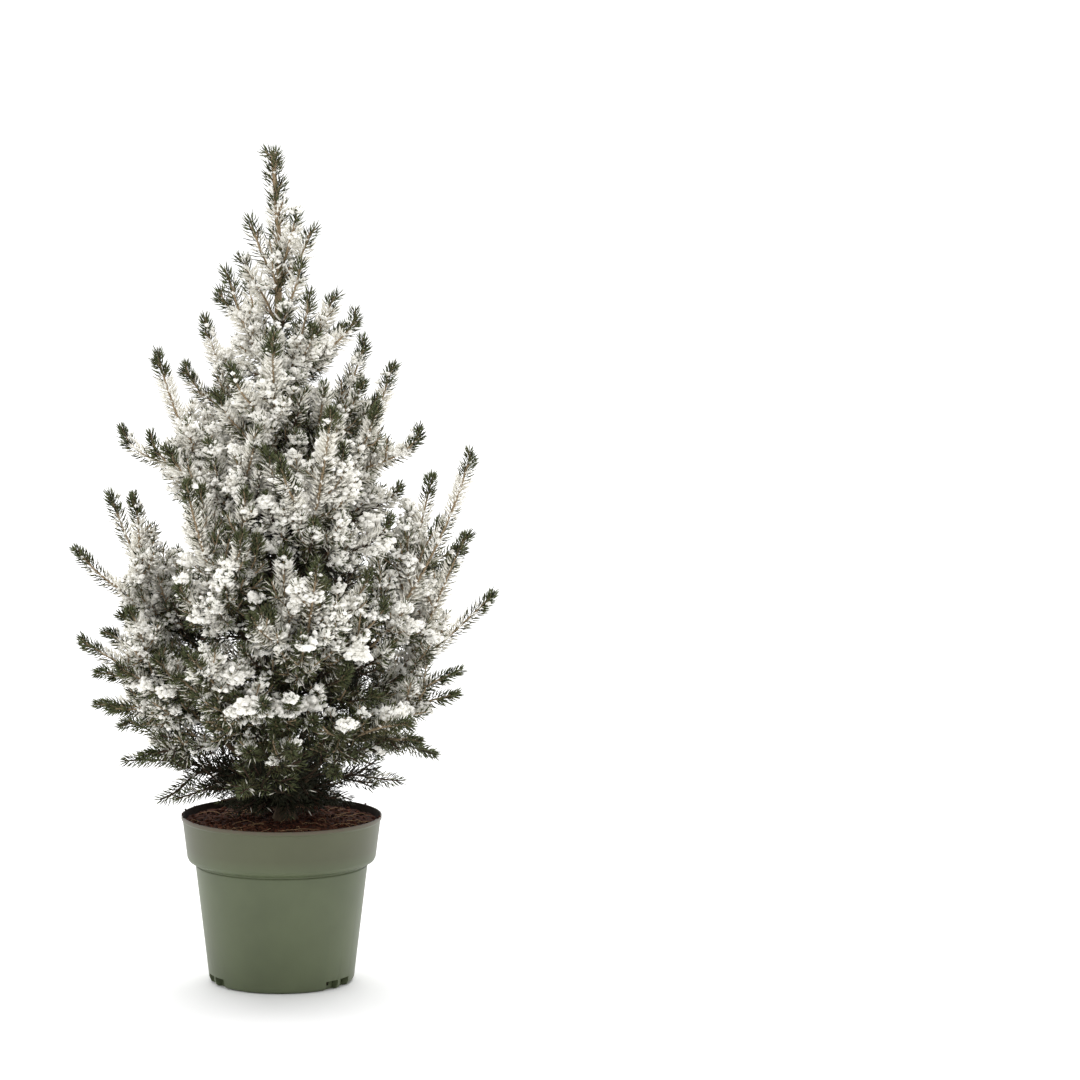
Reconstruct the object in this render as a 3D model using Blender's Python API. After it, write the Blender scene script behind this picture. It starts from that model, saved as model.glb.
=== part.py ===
"""Potted dwarf spruce dusted with snow, in a round plastic nursery pot.

Metres, +Z up. The origin is on the pot's axis, on the surface that the pot stands on. The front is -Y,
and an azimuth is in degrees from the front towards +X, which is to the right as seen from the front.
"""

import dataclasses
import math
import random

import bmesh
import bpy
import numpy as np
from mathutils.bvhtree import BVHTree

# Pot
POT_HEIGHT = 0.1595
RIM_RADIUS = 0.0950
RIM_LIP = 0.0012
RIM_LIP_HEIGHT = 0.0035
COLLAR_HEIGHT = 0.0415
COLLAR_FOOT_RADIUS = 0.0893
COLLAR_STEP_HEIGHT = 0.0052
WALL_TOP_RADIUS = 0.0817
FOOT_RADIUS = 0.0686
CORNER_RADIUS = 0.0045
WALL = 0.0018
FLOOR = 0.0025
POT_SEGMENTS = 48
SOIL_SEGMENTS = 24

# Drain recesses in the pot's bottom edge, each with a rib between two bays and a slot in each bay
RECESS_AZIMUTHS = (51.0, -65.5, 172.0)
RECESS_HALF_ANGLE = 14.0
RECESS_DEPTH = 0.0062
RECESS_HEIGHT = 0.0090
RIB_HALF_ANGLE = 1.4
SLOT_HALF_ANGLE = 1.3
SLOT_OFFSET_ANGLE = 7.5
SLOT_LOW = 0.0036
SLOT_HIGH = 0.0074

# Soil, 0.3 mm clear of the pot
GAP = 0.0003
SOIL_EDGE = 0.1530
SOIL_TOP = 0.1545
SOIL_FLAT_RADIUS = 0.022

# Trunk: radius without the flare at the soil and at the top, and how far its axis wanders to the side
TRUNK_TOP = 0.700
TRUNK_FOOT_RADIUS = 0.0086
TRUNK_TOP_RADIUS = 0.0019
FLARE = 0.0042
FLARE_HEIGHT = 0.0075
FLARE_LOBES = 3
TRUNK_FOOT_X = 0.003
TRUNK_TOP_X = -0.003
TRUNK_SWAY = 0.0022
TRUNK_SIDES = 10
PLANT_TOP = 0.788
PLANT_TOP_X = -0.009

# Radius of the closed body of the crown at some heights; the shoot tips stand out of it
BODY_PROFILE = (
    (0.170, 0.070),
    (0.221, 0.118),
    (0.268, 0.141),
    (0.345, 0.156),
    (0.410, 0.138),
    (0.458, 0.116),
    (0.553, 0.092),
    (0.600, 0.064),
    (0.648, 0.045),
    (0.742, 0.018),
    (0.788, 0.009),
)
SHOOT_STANDOUT = 0.034

# Boughs whose shoots make the outline: azimuth, then main and side tip as (distance to the side, height)
SIDE_BOUGHS = (
    (-82.0, (0.115, 0.595), (0.150, 0.522)),
    (-106.0, (0.162, 0.458), (0.190, 0.414)),
    (-74.0, (0.184, 0.332), (0.173, 0.263)),
    (-99.0, (0.149, 0.207), (0.114, 0.178)),
    (98.0, (0.104, 0.584), (0.129, 0.527)),
    (76.0, (0.176, 0.506), (0.143, 0.479)),
    (103.0, (0.201, 0.362), (0.173, 0.428)),
    (79.0, (0.163, 0.278), (0.144, 0.214)),
)

# Boughs towards the front and the back: a fan of them rises in even steps
FAN_MIDDLES = (0.0, 180.0)
FAN_BOUGHS = 6
FAN_HALF_ANGLE = 52.0
FAN_LOW = 0.205
FAN_HIGH = 0.560
FAN_FIRST_SHARE = 0.15
FORK_TURN = 21.0
FORK_DROP = 0.046
FORK_SHARE = 0.16
FORK_LEAVING_PULL = 0.9
FORK_TIP_PULL = 0.15

# Shoots of the upper crown grow from the trunk in whorls: left tip, right tip, count, first azimuth
UPPER_WHORLS = (
    ((0.029, 0.722), (0.027, 0.712), 2, -90.0),
    ((0.055, 0.674), (0.051, 0.649), 4, -62.0),
    ((0.075, 0.628), (0.078, 0.608), 4, -98.0),
    ((0.086, 0.520), (0.086, 0.505), 4, -140.0),
)

# Two low masses in front of the foot of the trunk and behind it, in the same form as a whorl
FOOT_WHORL = ((0.076, 0.192), (0.076, 0.192), 2, 12.0)
FOOT_WIDEST = 0.0120

# Limbs
BOUGH_FOOT_RADIUS = 0.0026
BOUGH_GROWTH = 0.0055
BOUGH_TIP_RADIUS = 0.0021
BOUGH_SIDES = 5
BOUGH_RINGS = 5
BOUGH_SHARE = 0.34
LOWEST_FOOT = 0.1720
LOWEST_FOLIAGE = 0.1680
FOOT_STEP = 0.0060
FOOT_TRIES = 30

# Twigs: radii of the wood, and needles that are larger than life because they are fewer
STEM_RADIUS = 0.0028
TWIG_RADIUS = 0.0024
TWIG_TIP_RADIUS = 0.0015
ROOT_RADIUS = 0.0011
RING_SPACING = 0.0170
LEADER_SPACING = 0.0095
RING_TWIST = 37.0
NEEDLE_RISE = 0.0120
NEEDLE_REACH = 0.0105
NEEDLE_MARGIN = 0.0010
NEEDLE_TIP_MARGIN = 0.0020
TWIG_LENGTH = 0.068
TWIG_ANGLE = 50.0
TWIG_LIFT = 0.30
TWIGS_PER_MASS = 4
TWIGS_PER_UPPER_MASS = 2
TWIG_TRIES = 10
TWIG_GAP = 0.0085
TWIG_CLEAR_FROM = 0.012
TWIG_OVERSHOOT = 0.008

# Dense core of a mass, which the shoots stand out of: a thicket of longer points about the stem
CORE_SHARE = 0.64
CORE_SETBACK = 0.004
CORE_SPACING = 0.0205
CORE_SIDES = 5
CORE_RADIUS = 0.0145
CORE_LEAST = 0.004
CORE_STEP = 0.0015
CORE_RISE = 0.0170
CORE_REACH = 0.0130
CORE_MARGIN = 0.0020
CORE_BARE = 0.018
CORE_GROWTH = 0.04
CORE_SHRINK = 0.88
CORE_TRIES = 12
UPPER_FULL_LENGTH = 0.150

# Snow lumps that lie on the twigs
SNOW_PER_MASS = 1
SNOW_RADIUS = 0.0105
SNOW_FLATNESS = 0.78

SEED = 7
GOLDEN_ANGLE = 137.508
GOLDEN_SHARE = 0.618
SKEW = (0.31, 0.17, 0.94)
SAMPLE_STEP = 0.003
TRUNK_OWNER = 0
NEEDLE_FACES = [(0, 1, 4), (1, 2, 4), (2, 3, 4), (3, 0, 4), (0, 2, 1), (0, 3, 2)]

# Colours are linear red, green, blue
POT_COLOUR = (0.135, 0.160, 0.099)
SOIL_COLOUR = (0.036, 0.018, 0.012)
BARK_COLOUR = (0.200, 0.132, 0.075)
FOLIAGE_COLOUR = (0.330, 0.345, 0.285)


# Small helpers


def unit(vector):
    return vector / np.linalg.norm(vector)


def outwards(azimuth):
    """Level unit vector that points away from the axis at this azimuth."""
    angle = math.radians(azimuth)
    return np.array((math.sin(angle), -math.cos(angle), 0.0))


def aimed(azimuth, rise):
    """Unit vector at this azimuth that climbs by this many degrees."""
    angle = math.radians(rise)
    return outwards(azimuth) * math.cos(angle) + np.array((0.0, 0.0, math.sin(angle)))


def smooth_step(low, high, value):
    share = min(max((value - low) / (high - low), 0.0), 1.0)
    return share * share * (3.0 - 2.0 * share)


def clear_scene():
    for obj in list(bpy.data.objects):
        bpy.data.objects.remove(obj, do_unlink=True)


def material(name, colour, roughness):
    made = bpy.data.materials.new(name)
    made.use_nodes = True
    shader = made.node_tree.nodes["Principled BSDF"]
    shader.inputs["Base Color"].default_value = (*colour, 1.0)
    shader.inputs["Roughness"].default_value = roughness
    shader.inputs["Metallic"].default_value = 0.0
    return made


def add_object(name, mesh):
    obj = bpy.data.objects.new(name, mesh)
    bpy.context.scene.collection.objects.link(obj)
    return obj


def mesh_object(name, points, faces):
    mesh = bpy.data.meshes.new(name)
    mesh.from_pydata([tuple(point) for point in points], [], faces)
    return add_object(name, mesh)


def from_bmesh(name, bm):
    bmesh.ops.recalc_face_normals(bm, faces=bm.faces)
    mesh = bpy.data.meshes.new(name)
    bm.to_mesh(mesh)
    bm.free()
    return add_object(name, mesh)


def dress(obj, colour, roughness, sharp_angle=None):
    """Gives the object its own material, and smooth shading where an angle for the sharp edges is stated."""
    obj.data.materials.clear()
    obj.data.materials.append(material(obj.name, colour, roughness))
    if sharp_angle is not None:
        obj.data.shade_smooth()
        obj.data.set_sharp_from_angle(angle=math.radians(sharp_angle))


def boolean(target, helpers, operation, solver="EXACT"):
    """Applies one Boolean between the target and a collection of helpers, which stay."""
    gathered = bpy.data.collections.new(target.name + "_helpers")
    bpy.context.scene.collection.children.link(gathered)
    for helper in helpers:
        gathered.objects.link(helper)
    modifier = target.modifiers.new(operation.title(), "BOOLEAN")
    modifier.operation = operation
    modifier.operand_type = "COLLECTION"
    modifier.collection = gathered
    modifier.solver = solver
    bpy.context.view_layer.update()
    graph = bpy.context.evaluated_depsgraph_get()
    result = bpy.data.meshes.new_from_object(target.evaluated_get(graph))
    target.modifiers.remove(modifier)
    bpy.data.collections.remove(gathered)
    return result


def remove_all(objects):
    for obj in objects:
        bpy.data.objects.remove(obj, do_unlink=True)


def watertight(mesh):
    bm = bmesh.new()
    bm.from_mesh(mesh)
    closed = bool(bm.faces) and all(edge.is_manifold for edge in bm.edges)
    bm.free()
    return closed


def keep_outer_shell(mesh):
    """Fills sealed hollows and drops loose scraps: only the widest shell stays."""
    bm = bmesh.new()
    bm.from_mesh(mesh)
    bm.faces.ensure_lookup_table()
    left = set(bm.faces)
    shells = []
    while left:
        shell = [left.pop()]
        for face in shell:
            for edge in face.edges:
                for other in edge.link_faces:
                    if other in left:
                        left.remove(other)
                        shell.append(other)
        corners = np.array([corner.co for face in shell for corner in face.verts])
        shells.append((float(np.prod(np.ptp(corners, axis=0))), shell))
    shells.sort(key=lambda item: item[0])
    scraps = [face for _, shell in shells[:-1] for face in shell]
    if scraps:
        bmesh.ops.delete(bm, geom=scraps, context="FACES")
        bm.to_mesh(mesh)
    bm.free()


def fuse(target, helpers):
    """Joins the helpers to the target in one union and removes them."""
    result = boolean(target, helpers, "UNION")
    if not watertight(result):
        result = boolean(target, helpers, "UNION", "MANIFOLD")
    keep_outer_shell(result)
    target.data = result
    remove_all(helpers)


# Pot and soil


def lathe(name, profile, segments):
    """A closed solid turned about Z from (radius, height) points that start and end on the axis."""
    bm = bmesh.new()
    verts = [bm.verts.new((radius, 0.0, height)) for radius, height in profile]
    edges = [bm.edges.new(pair) for pair in zip(verts, verts[1:])]
    bmesh.ops.spin(
        bm,
        geom=verts + edges,
        cent=(0.0, 0.0, 0.0),
        axis=(0.0, 0.0, 1.0),
        angle=2.0 * math.pi,
        steps=segments,
        use_merge=True,
    )
    bmesh.ops.remove_doubles(bm, verts=bm.verts, dist=1e-6)
    return from_bmesh(name, bm)


def sector(name, inner, outer, low, high, middle, half_angle, steps=6):
    """A block between two radii and two heights, over a range of azimuths."""
    bm = bmesh.new()
    angles = [middle + half_angle * (2.0 * step / steps - 1.0) for step in range(steps + 1)]
    loop = [outwards(angle) * outer for angle in angles]
    loop += [outwards(angle) * inner for angle in reversed(angles)]
    floor = bm.faces.new([bm.verts.new((x, y, low)) for x, y, _ in loop])
    top = bmesh.ops.extrude_face_region(bm, geom=[floor])
    risen = [item for item in top["geom"] if isinstance(item, bmesh.types.BMVert)]
    bmesh.ops.translate(bm, verts=risen, vec=(0.0, 0.0, high - low))
    return from_bmesh(name, bm)


def wall_radius(height):
    """Outer radius of the tapering wall below the collar."""
    share = height / (POT_HEIGHT - COLLAR_HEIGHT - COLLAR_STEP_HEIGHT)
    return FOOT_RADIUS + (WALL_TOP_RADIUS - FOOT_RADIUS) * share


def pot_profile():
    """Outer side of the pot, from the middle of its underside to the middle of its top."""
    centre_z = CORNER_RADIUS
    centre_r = wall_radius(centre_z) - CORNER_RADIUS
    corner = [
        (
            centre_r + CORNER_RADIUS * math.sin(math.radians(angle)),
            centre_z - CORNER_RADIUS * math.cos(math.radians(angle)),
        )
        for angle in (0.0, 45.0, 90.0)
    ]
    collar_foot = POT_HEIGHT - COLLAR_HEIGHT
    return (
        [(0.0, 0.0)]
        + corner
        + [
            (WALL_TOP_RADIUS, collar_foot - COLLAR_STEP_HEIGHT),
            (COLLAR_FOOT_RADIUS, collar_foot),
            (RIM_RADIUS - RIM_LIP, POT_HEIGHT - RIM_LIP_HEIGHT - RIM_LIP),
            (RIM_RADIUS, POT_HEIGHT - RIM_LIP_HEIGHT),
            (RIM_RADIUS, POT_HEIGHT),
            (0.0, POT_HEIGHT),
        ]
    )


def cavity_profile():
    """Inside of the pot, carried on above the rim."""
    step_foot = POT_HEIGHT - COLLAR_HEIGHT - COLLAR_STEP_HEIGHT
    return [
        (0.0, FLOOR),
        (wall_radius(FLOOR) - WALL - CORNER_RADIUS, FLOOR),
        (wall_radius(FLOOR + CORNER_RADIUS) - WALL, FLOOR + CORNER_RADIUS),
        (WALL_TOP_RADIUS - WALL, step_foot + WALL),
        (COLLAR_FOOT_RADIUS - WALL, POT_HEIGHT - COLLAR_HEIGHT + WALL),
        (RIM_RADIUS - WALL, POT_HEIGHT + WALL),
        (0.0, POT_HEIGHT + WALL),
    ]


def make_pot():
    pot = lathe("pot", pot_profile(), POT_SEGMENTS)
    cavity = lathe("cavity", cavity_profile(), POT_SEGMENTS)
    inner = FOOT_RADIUS - RECESS_DEPTH
    below = -RECESS_DEPTH
    housings = []
    cutters = []
    bay_half = (RECESS_HALF_ANGLE - RIB_HALF_ANGLE) / 2.0
    wall_angle = math.degrees(WALL / FOOT_RADIUS)
    for middle in RECESS_AZIMUTHS:
        housings.append(
            sector(
                "housing",
                inner - WALL,
                RIM_RADIUS,
                below,
                RECESS_HEIGHT + WALL,
                middle,
                RECESS_HALF_ANGLE + wall_angle,
            )
        )
        for side in (-1.0, 1.0):
            bay = middle + side * (RIB_HALF_ANGLE + bay_half)
            cutters.append(sector("bay", inner, RIM_RADIUS, below, RECESS_HEIGHT, bay, bay_half, 4))
            slot = middle + side * SLOT_OFFSET_ANGLE
            cutters.append(
                sector("slot", inner - 2 * WALL, inner + WALL, SLOT_LOW, SLOT_HIGH, slot, SLOT_HALF_ANGLE, 1)
            )
    cavity.data = boolean(cavity, housings, "DIFFERENCE")
    pot.data = boolean(pot, [cavity], "DIFFERENCE")
    pot.data = boolean(pot, cutters, "DIFFERENCE")
    remove_all(housings + cutters + [cavity])
    dress(pot, POT_COLOUR, 0.55, 35.0)


def make_soil():
    step_foot = POT_HEIGHT - COLLAR_HEIGHT - COLLAR_STEP_HEIGHT
    recess_radius = FOOT_RADIUS - RECESS_DEPTH - WALL - GAP
    recess_top = RECESS_HEIGHT + WALL + 2 * GAP
    slope = (RIM_RADIUS - COLLAR_FOOT_RADIUS) / COLLAR_HEIGHT
    edge_radius = COLLAR_FOOT_RADIUS - WALL + slope * (SOIL_EDGE - POT_HEIGHT + COLLAR_HEIGHT - WALL)
    profile = [
        (0.0, FLOOR + GAP),
        (recess_radius, FLOOR + GAP),
        (recess_radius, recess_top),
        (wall_radius(recess_top) - WALL - GAP, recess_top),
        (WALL_TOP_RADIUS - WALL - GAP, step_foot + WALL + GAP),
        (COLLAR_FOOT_RADIUS - WALL - 2 * GAP, POT_HEIGHT - COLLAR_HEIGHT + WALL + GAP),
        (edge_radius - 2 * GAP, SOIL_EDGE),
        (0.6 * edge_radius, 0.5 * (SOIL_EDGE + SOIL_TOP)),
        (SOIL_FLAT_RADIUS, SOIL_TOP),
        (0.0, SOIL_TOP),
    ]
    soil = lathe("soil", profile, SOIL_SEGMENTS)
    dress(soil, SOIL_COLOUR, 0.95)


# Trunk


def trunk_axis(height):
    """Centre of the trunk, and of the leader above it, at this height."""
    climb = smooth_step(SOIL_TOP, 0.45, height)
    lean = max(0.0, (height - TRUNK_TOP) / (PLANT_TOP - TRUNK_TOP)) ** 1.6
    x = TRUNK_FOOT_X + (TRUNK_TOP_X - TRUNK_FOOT_X) * climb + (PLANT_TOP_X - TRUNK_TOP_X) * lean
    y = TRUNK_SWAY * math.sin(2.0 * math.pi * (height - SOIL_TOP) / 0.42) * (1.0 - lean)
    return np.array((x, y, height))


def trunk_radius(height):
    share = (height - SOIL_TOP) / (TRUNK_TOP - SOIL_TOP)
    flare = FLARE * math.exp(-(height - SOIL_TOP) / FLARE_HEIGHT)
    return TRUNK_FOOT_RADIUS + (TRUNK_TOP_RADIUS - TRUNK_FOOT_RADIUS) * share + flare


def make_trunk():
    foot = SOIL_TOP + GAP
    heights = [foot, foot + 0.004, foot + 0.010, foot + 0.020]
    heights += list(np.linspace(0.21, TRUNK_TOP, 11))
    points = []
    for height in heights:
        lobe = 0.16 * math.exp(-(height - foot) / FLARE_HEIGHT)
        for side in range(TRUNK_SIDES):
            angle = 2.0 * math.pi * side / TRUNK_SIDES
            radius = trunk_radius(height) * (1.0 - lobe * (0.5 - 0.5 * math.cos(FLARE_LOBES * angle)))
            ring = np.array((math.cos(angle), math.sin(angle), 0.0)) * radius
            points.append(trunk_axis(height) + ring)
    faces = [tuple(reversed(range(TRUNK_SIDES)))]
    faces += band_faces(len(heights), TRUNK_SIDES)
    last = (len(heights) - 1) * TRUNK_SIDES
    faces.append(tuple(range(last, last + TRUNK_SIDES)))
    trunk = mesh_object("trunk", points, faces)
    dress(trunk, BARK_COLOUR, 0.85, 50.0)
    return trunk


def band_faces(rings, sides):
    """Faces between neighbouring rings of a tube."""
    faces = []
    for ring in range(rings - 1):
        for side in range(sides):
            after = (side + 1) % sides
            low = ring * sides
            high = low + sides
            faces.append((low + side, low + after, high + after, high + side))
    return faces


# Centre lines


class Path:
    """A smooth centre line that is read by the length along it."""

    FINE = 64

    def __init__(self, points):
        self.points = points
        steps = np.linalg.norm(np.diff(points, axis=0), axis=1)
        self.lengths = np.concatenate(([0.0], np.cumsum(steps)))
        self.length = float(self.lengths[-1])

    def at(self, along):
        return np.array([np.interp(along, self.lengths, self.points[:, axis]) for axis in range(3)])

    def heading(self, along):
        reach = 0.02 * self.length
        low = self.at(max(along - reach, 0.0))
        high = self.at(min(along + reach, self.length))
        return unit(high - low)

    def samples(self, start=0.0):
        count = max(2, int((self.length - start) / SAMPLE_STEP))
        return np.array([self.at(along) for along in np.linspace(start, self.length, count)])


def swept(start, start_heading, end, end_heading):
    """A path that leaves along one heading and arrives along another."""
    handle = 0.36 * np.linalg.norm(end - start)
    first = start + start_heading * handle
    second = end - end_heading * handle
    t = np.linspace(0.0, 1.0, Path.FINE)[:, None]
    curve = (1 - t) ** 3 * start + 3 * (1 - t) ** 2 * t * first
    return Path(curve + 3 * (1 - t) * t**2 * second + t**3 * end)


def tip_rise(height):
    """Degrees by which a shoot climbs at its tip: level low down, steep from half-way up."""
    return -10.0 + 84.0 * smooth_step(0.17, 0.50, height)


def chord_rise(height):
    """Degrees by which a whole limb climbs from the trunk to its tip."""
    return 12.0 + 50.0 * min(max((height - 0.18) / 0.42, 0.0), 1.0) ** 0.6


def limb_path(azimuth, reach, height, foot):
    """From the trunk's skin at the foot's height to a tip."""
    start = trunk_axis(foot) + outwards(azimuth) * (trunk_radius(foot) + 2 * GAP)
    tip = outwards(azimuth) * reach + np.array((0.0, 0.0, height))
    level = np.linalg.norm((tip - start)[:2])
    chord = math.degrees(math.atan2(tip[2] - start[2], level))
    rise = tip_rise(height)
    leave = min(max(2.0 * chord - rise, 4.0), 66.0)
    heading = math.degrees(math.atan2(tip[0] - start[0], start[1] - tip[1]))
    return swept(start, aimed(heading, leave), tip, aimed(heading, rise))


def natural_foot(reach, height):
    """Height at which a limb with this tip leaves the trunk."""
    return max(LOWEST_FOOT, height - reach * math.tan(math.radians(chord_rise(height))))


def body_radius(height):
    heights, radii = zip(*BODY_PROFILE)
    return float(np.interp(height, heights, radii))


# Twigs and masses


@dataclasses.dataclass
class Twig:
    """A needle-bearing twig. It sits on a limb in the plane across foot, or is sunk in its parent where foot is None."""

    path: Path
    radius: float
    phase: float
    foot: object
    start: float = 0.0
    bare: tuple = (0.0, 0.0)
    spacing: float = RING_SPACING

    def rings(self):
        """Corner points of the three-sided wood, ring by ring, with the place and heading of each ring."""
        count = max(3, round((self.path.length - self.start) / self.spacing) + 1)
        places = np.linspace(self.start, self.path.length - 0.35 * self.spacing, count)
        side = np.cross(self.path.heading(places[0]), SKEW)
        rings = []
        for index, along in enumerate(places):
            heading = self.path.heading(along)
            side = unit(side - heading * np.dot(side, heading))
            across = np.cross(heading, side)
            radius = self.radius + (TWIG_TIP_RADIUS - self.radius) * index / (count - 1)
            if index == 0 and self.foot is None:
                radius = ROOT_RADIUS
            ring = []
            for corner in range(3):
                angle = math.radians(self.phase + index * RING_TWIST + corner * 120.0)
                offset = (side * math.cos(angle) + across * math.sin(angle)) * radius
                if index == 0 and self.foot is not None:
                    offset -= heading * (np.dot(offset, self.foot) / np.dot(heading, self.foot))
                ring.append(self.path.at(along) + offset)
            rings.append(Ring(np.array(ring), self.path.at(along), heading, along))
        return rings

    def is_bare(self, along):
        return self.bare[0] <= along <= self.bare[1]


@dataclasses.dataclass
class Ring:
    """One ring of corners about a centre line."""

    corners: np.ndarray
    centre: np.ndarray
    heading: np.ndarray
    along: float


@dataclasses.dataclass
class Mass:
    """Foliage on one bough or on the trunk: a main stem, a dense core about it, and twigs that stand out."""

    number: int
    name: str
    stem: Twig
    twigs: list
    rng: random.Random
    wanted: int
    widest: float
    core: tuple = ()

    def all_twigs(self):
        return [self.stem] + self.twigs


def needled(rings, tip, may_grow, rise=NEEDLE_RISE, reach=NEEDLE_REACH):
    """A tube through the rings, closed by a tip, with a needle on each face where may_grow says so."""
    sides = len(rings[0].corners)
    points = [corner for ring in rings for corner in ring.corners]
    faces = [tuple(reversed(range(sides)))]
    for index, (low, high) in enumerate(zip(rings, rings[1:])):
        middle = 0.5 * (low.centre + high.centre)
        heading = unit(low.heading + high.heading)
        for side in range(sides):
            after = (side + 1) % sides
            first = index * sides
            quad = (first + side, first + after, first + sides + after, first + sides + side)
            corners = np.array([points[corner] for corner in quad])
            centre = corners.mean(axis=0)
            out = centre - middle
            out = unit(out - heading * np.dot(out, heading))
            apex = centre + out * rise + heading * reach
            if may_grow(0.5 * (low.along + high.along), swollen(corners, centre, apex)):
                points.append(apex)
                faces += [(quad[corner], quad[(corner + 1) % 4], len(points) - 1) for corner in range(4)]
            else:
                faces += [(quad[0], quad[1], quad[2]), (quad[0], quad[2], quad[3])]
    last = (len(rings) - 1) * sides
    points.append(tip)
    faces += [(last + side, last + (side + 1) % sides, len(points) - 1) for side in range(sides)]
    return np.array(points), faces


def never(along, needle):
    return False


def swollen(corners, centre, apex):
    """A needle grown on all sides by its margin, as points: four base corners and a tip."""
    wider = [corner + unit(corner - centre) * NEEDLE_MARGIN for corner in corners]
    return np.array(wider + [apex + unit(apex - centre) * NEEDLE_TIP_MARGIN])


def tree_of(points, faces):
    return BVHTree.FromPolygons([tuple(point) for point in points], faces)


class Space:
    """What each node takes up, as sample points for laying out limbs and as meshes for fitting shapes."""

    def __init__(self):
        self.samples = np.empty((0, 3))
        self.radii = np.empty(0)
        self.owners = np.empty(0, int)
        self.meshes = {}

    def add_samples(self, points, radius, owner):
        self.samples = np.vstack((self.samples, points))
        self.radii = np.append(self.radii, np.full(len(points), radius))
        self.owners = np.append(self.owners, np.full(len(points), owner))

    def nearest(self, points, chosen):
        """Least distance from any of the points to the surface of the chosen samples."""
        others = self.samples[chosen]
        if not len(others):
            return math.inf
        spread = np.linalg.norm(points[:, None] - others[None], axis=2) - self.radii[chosen]
        return float(spread.min())

    def add_mesh(self, key, points, faces):
        """Keeps a mesh under the key (node, piece)."""
        self.meshes[key] = (points, faces, points.min(axis=0), points.max(axis=0))

    def tree_near(self, low, high, leave_out):
        """A search tree of the meshes near a box, but for the keys that are left out."""
        points = []
        faces = []
        for key, (its_points, its_faces, its_low, its_high) in self.meshes.items():
            if leave_out(key) or (its_low > high).any() or (its_high < low).any():
                continue
            shift = len(points)
            points.extend(map(tuple, its_points))
            faces.extend(tuple(corner + shift for corner in face) for face in its_faces)
        return BVHTree.FromPolygons(points, faces) if faces else None

    def is_free(self, points, faces, node):
        """Whether a shape touches no mesh of another node."""
        tree = self.tree_near(points.min(axis=0), points.max(axis=0), lambda key: key[0] == node)
        return tree is None or not tree_of(points, faces).overlap(tree)


# The plant's limbs


def bough_plans():
    """Azimuth, reach and height of the main tip and of the side tip of each bough."""
    plans = []
    for azimuth, main, fork in SIDE_BOUGHS:
        turned = azimuth + FORK_TURN * (1.0 if azimuth % 180.0 < 90.0 else -1.0)
        main_lean = abs(math.sin(math.radians(azimuth)))
        fork_lean = abs(math.sin(math.radians(turned)))
        plans.append((azimuth, main[0] / main_lean, main[1], turned, fork[0] / fork_lean, fork[1]))
    for fan, middle in enumerate(FAN_MIDDLES):
        rng = random.Random(SEED + fan)
        for index in range(FAN_BOUGHS):
            side = 1.0 if index % 2 else -1.0
            share = (FAN_FIRST_SHARE + index * GOLDEN_SHARE) % 1.0
            azimuth = middle + side * FAN_HALF_ANGLE * (0.22 + 0.78 * share)
            height = FAN_LOW + (FAN_HIGH - FAN_LOW) * index / (FAN_BOUGHS - 1)
            height += rng.uniform(-0.012, 0.012)
            reach = body_radius(height) + SHOOT_STANDOUT * rng.uniform(0.7, 1.15)
            fork_height = height - FORK_DROP if index else height + FORK_DROP
            fork_reach = body_radius(fork_height) + SHOOT_STANDOUT * rng.uniform(0.4, 0.9)
            plans.append((azimuth, reach, height, azimuth - side * FORK_TURN, fork_reach, fork_height))
    return plans


def upper_plans():
    """Azimuth, reach and height of each shoot that grows from the trunk itself, the two lowest last."""
    plans = []
    for whorl, (left, right, count, first) in enumerate(UPPER_WHORLS + (FOOT_WHORL,)):
        rng = random.Random(SEED * 10 + whorl)
        for index in range(count):
            azimuth = first + index * 360.0 / count + rng.uniform(-9.0, 9.0)
            share = 0.5 + 0.5 * math.sin(math.radians(azimuth))
            reach = left[0] + (right[0] - left[0]) * share
            height = left[1] + (right[1] - left[1]) * share
            plans.append((azimuth, reach, height))
    return plans


def seated_path(space, azimuth, reach, height, gap):
    """A limb's path, its foot moved up the trunk until the limb is clear of the others."""
    foot = natural_foot(reach, height)
    for _ in range(FOOT_TRIES):
        path = limb_path(azimuth, reach, height, foot)
        if space.nearest(path.samples(), space.owners != TRUNK_OWNER) > gap:
            break
        foot += FOOT_STEP
    return path


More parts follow.
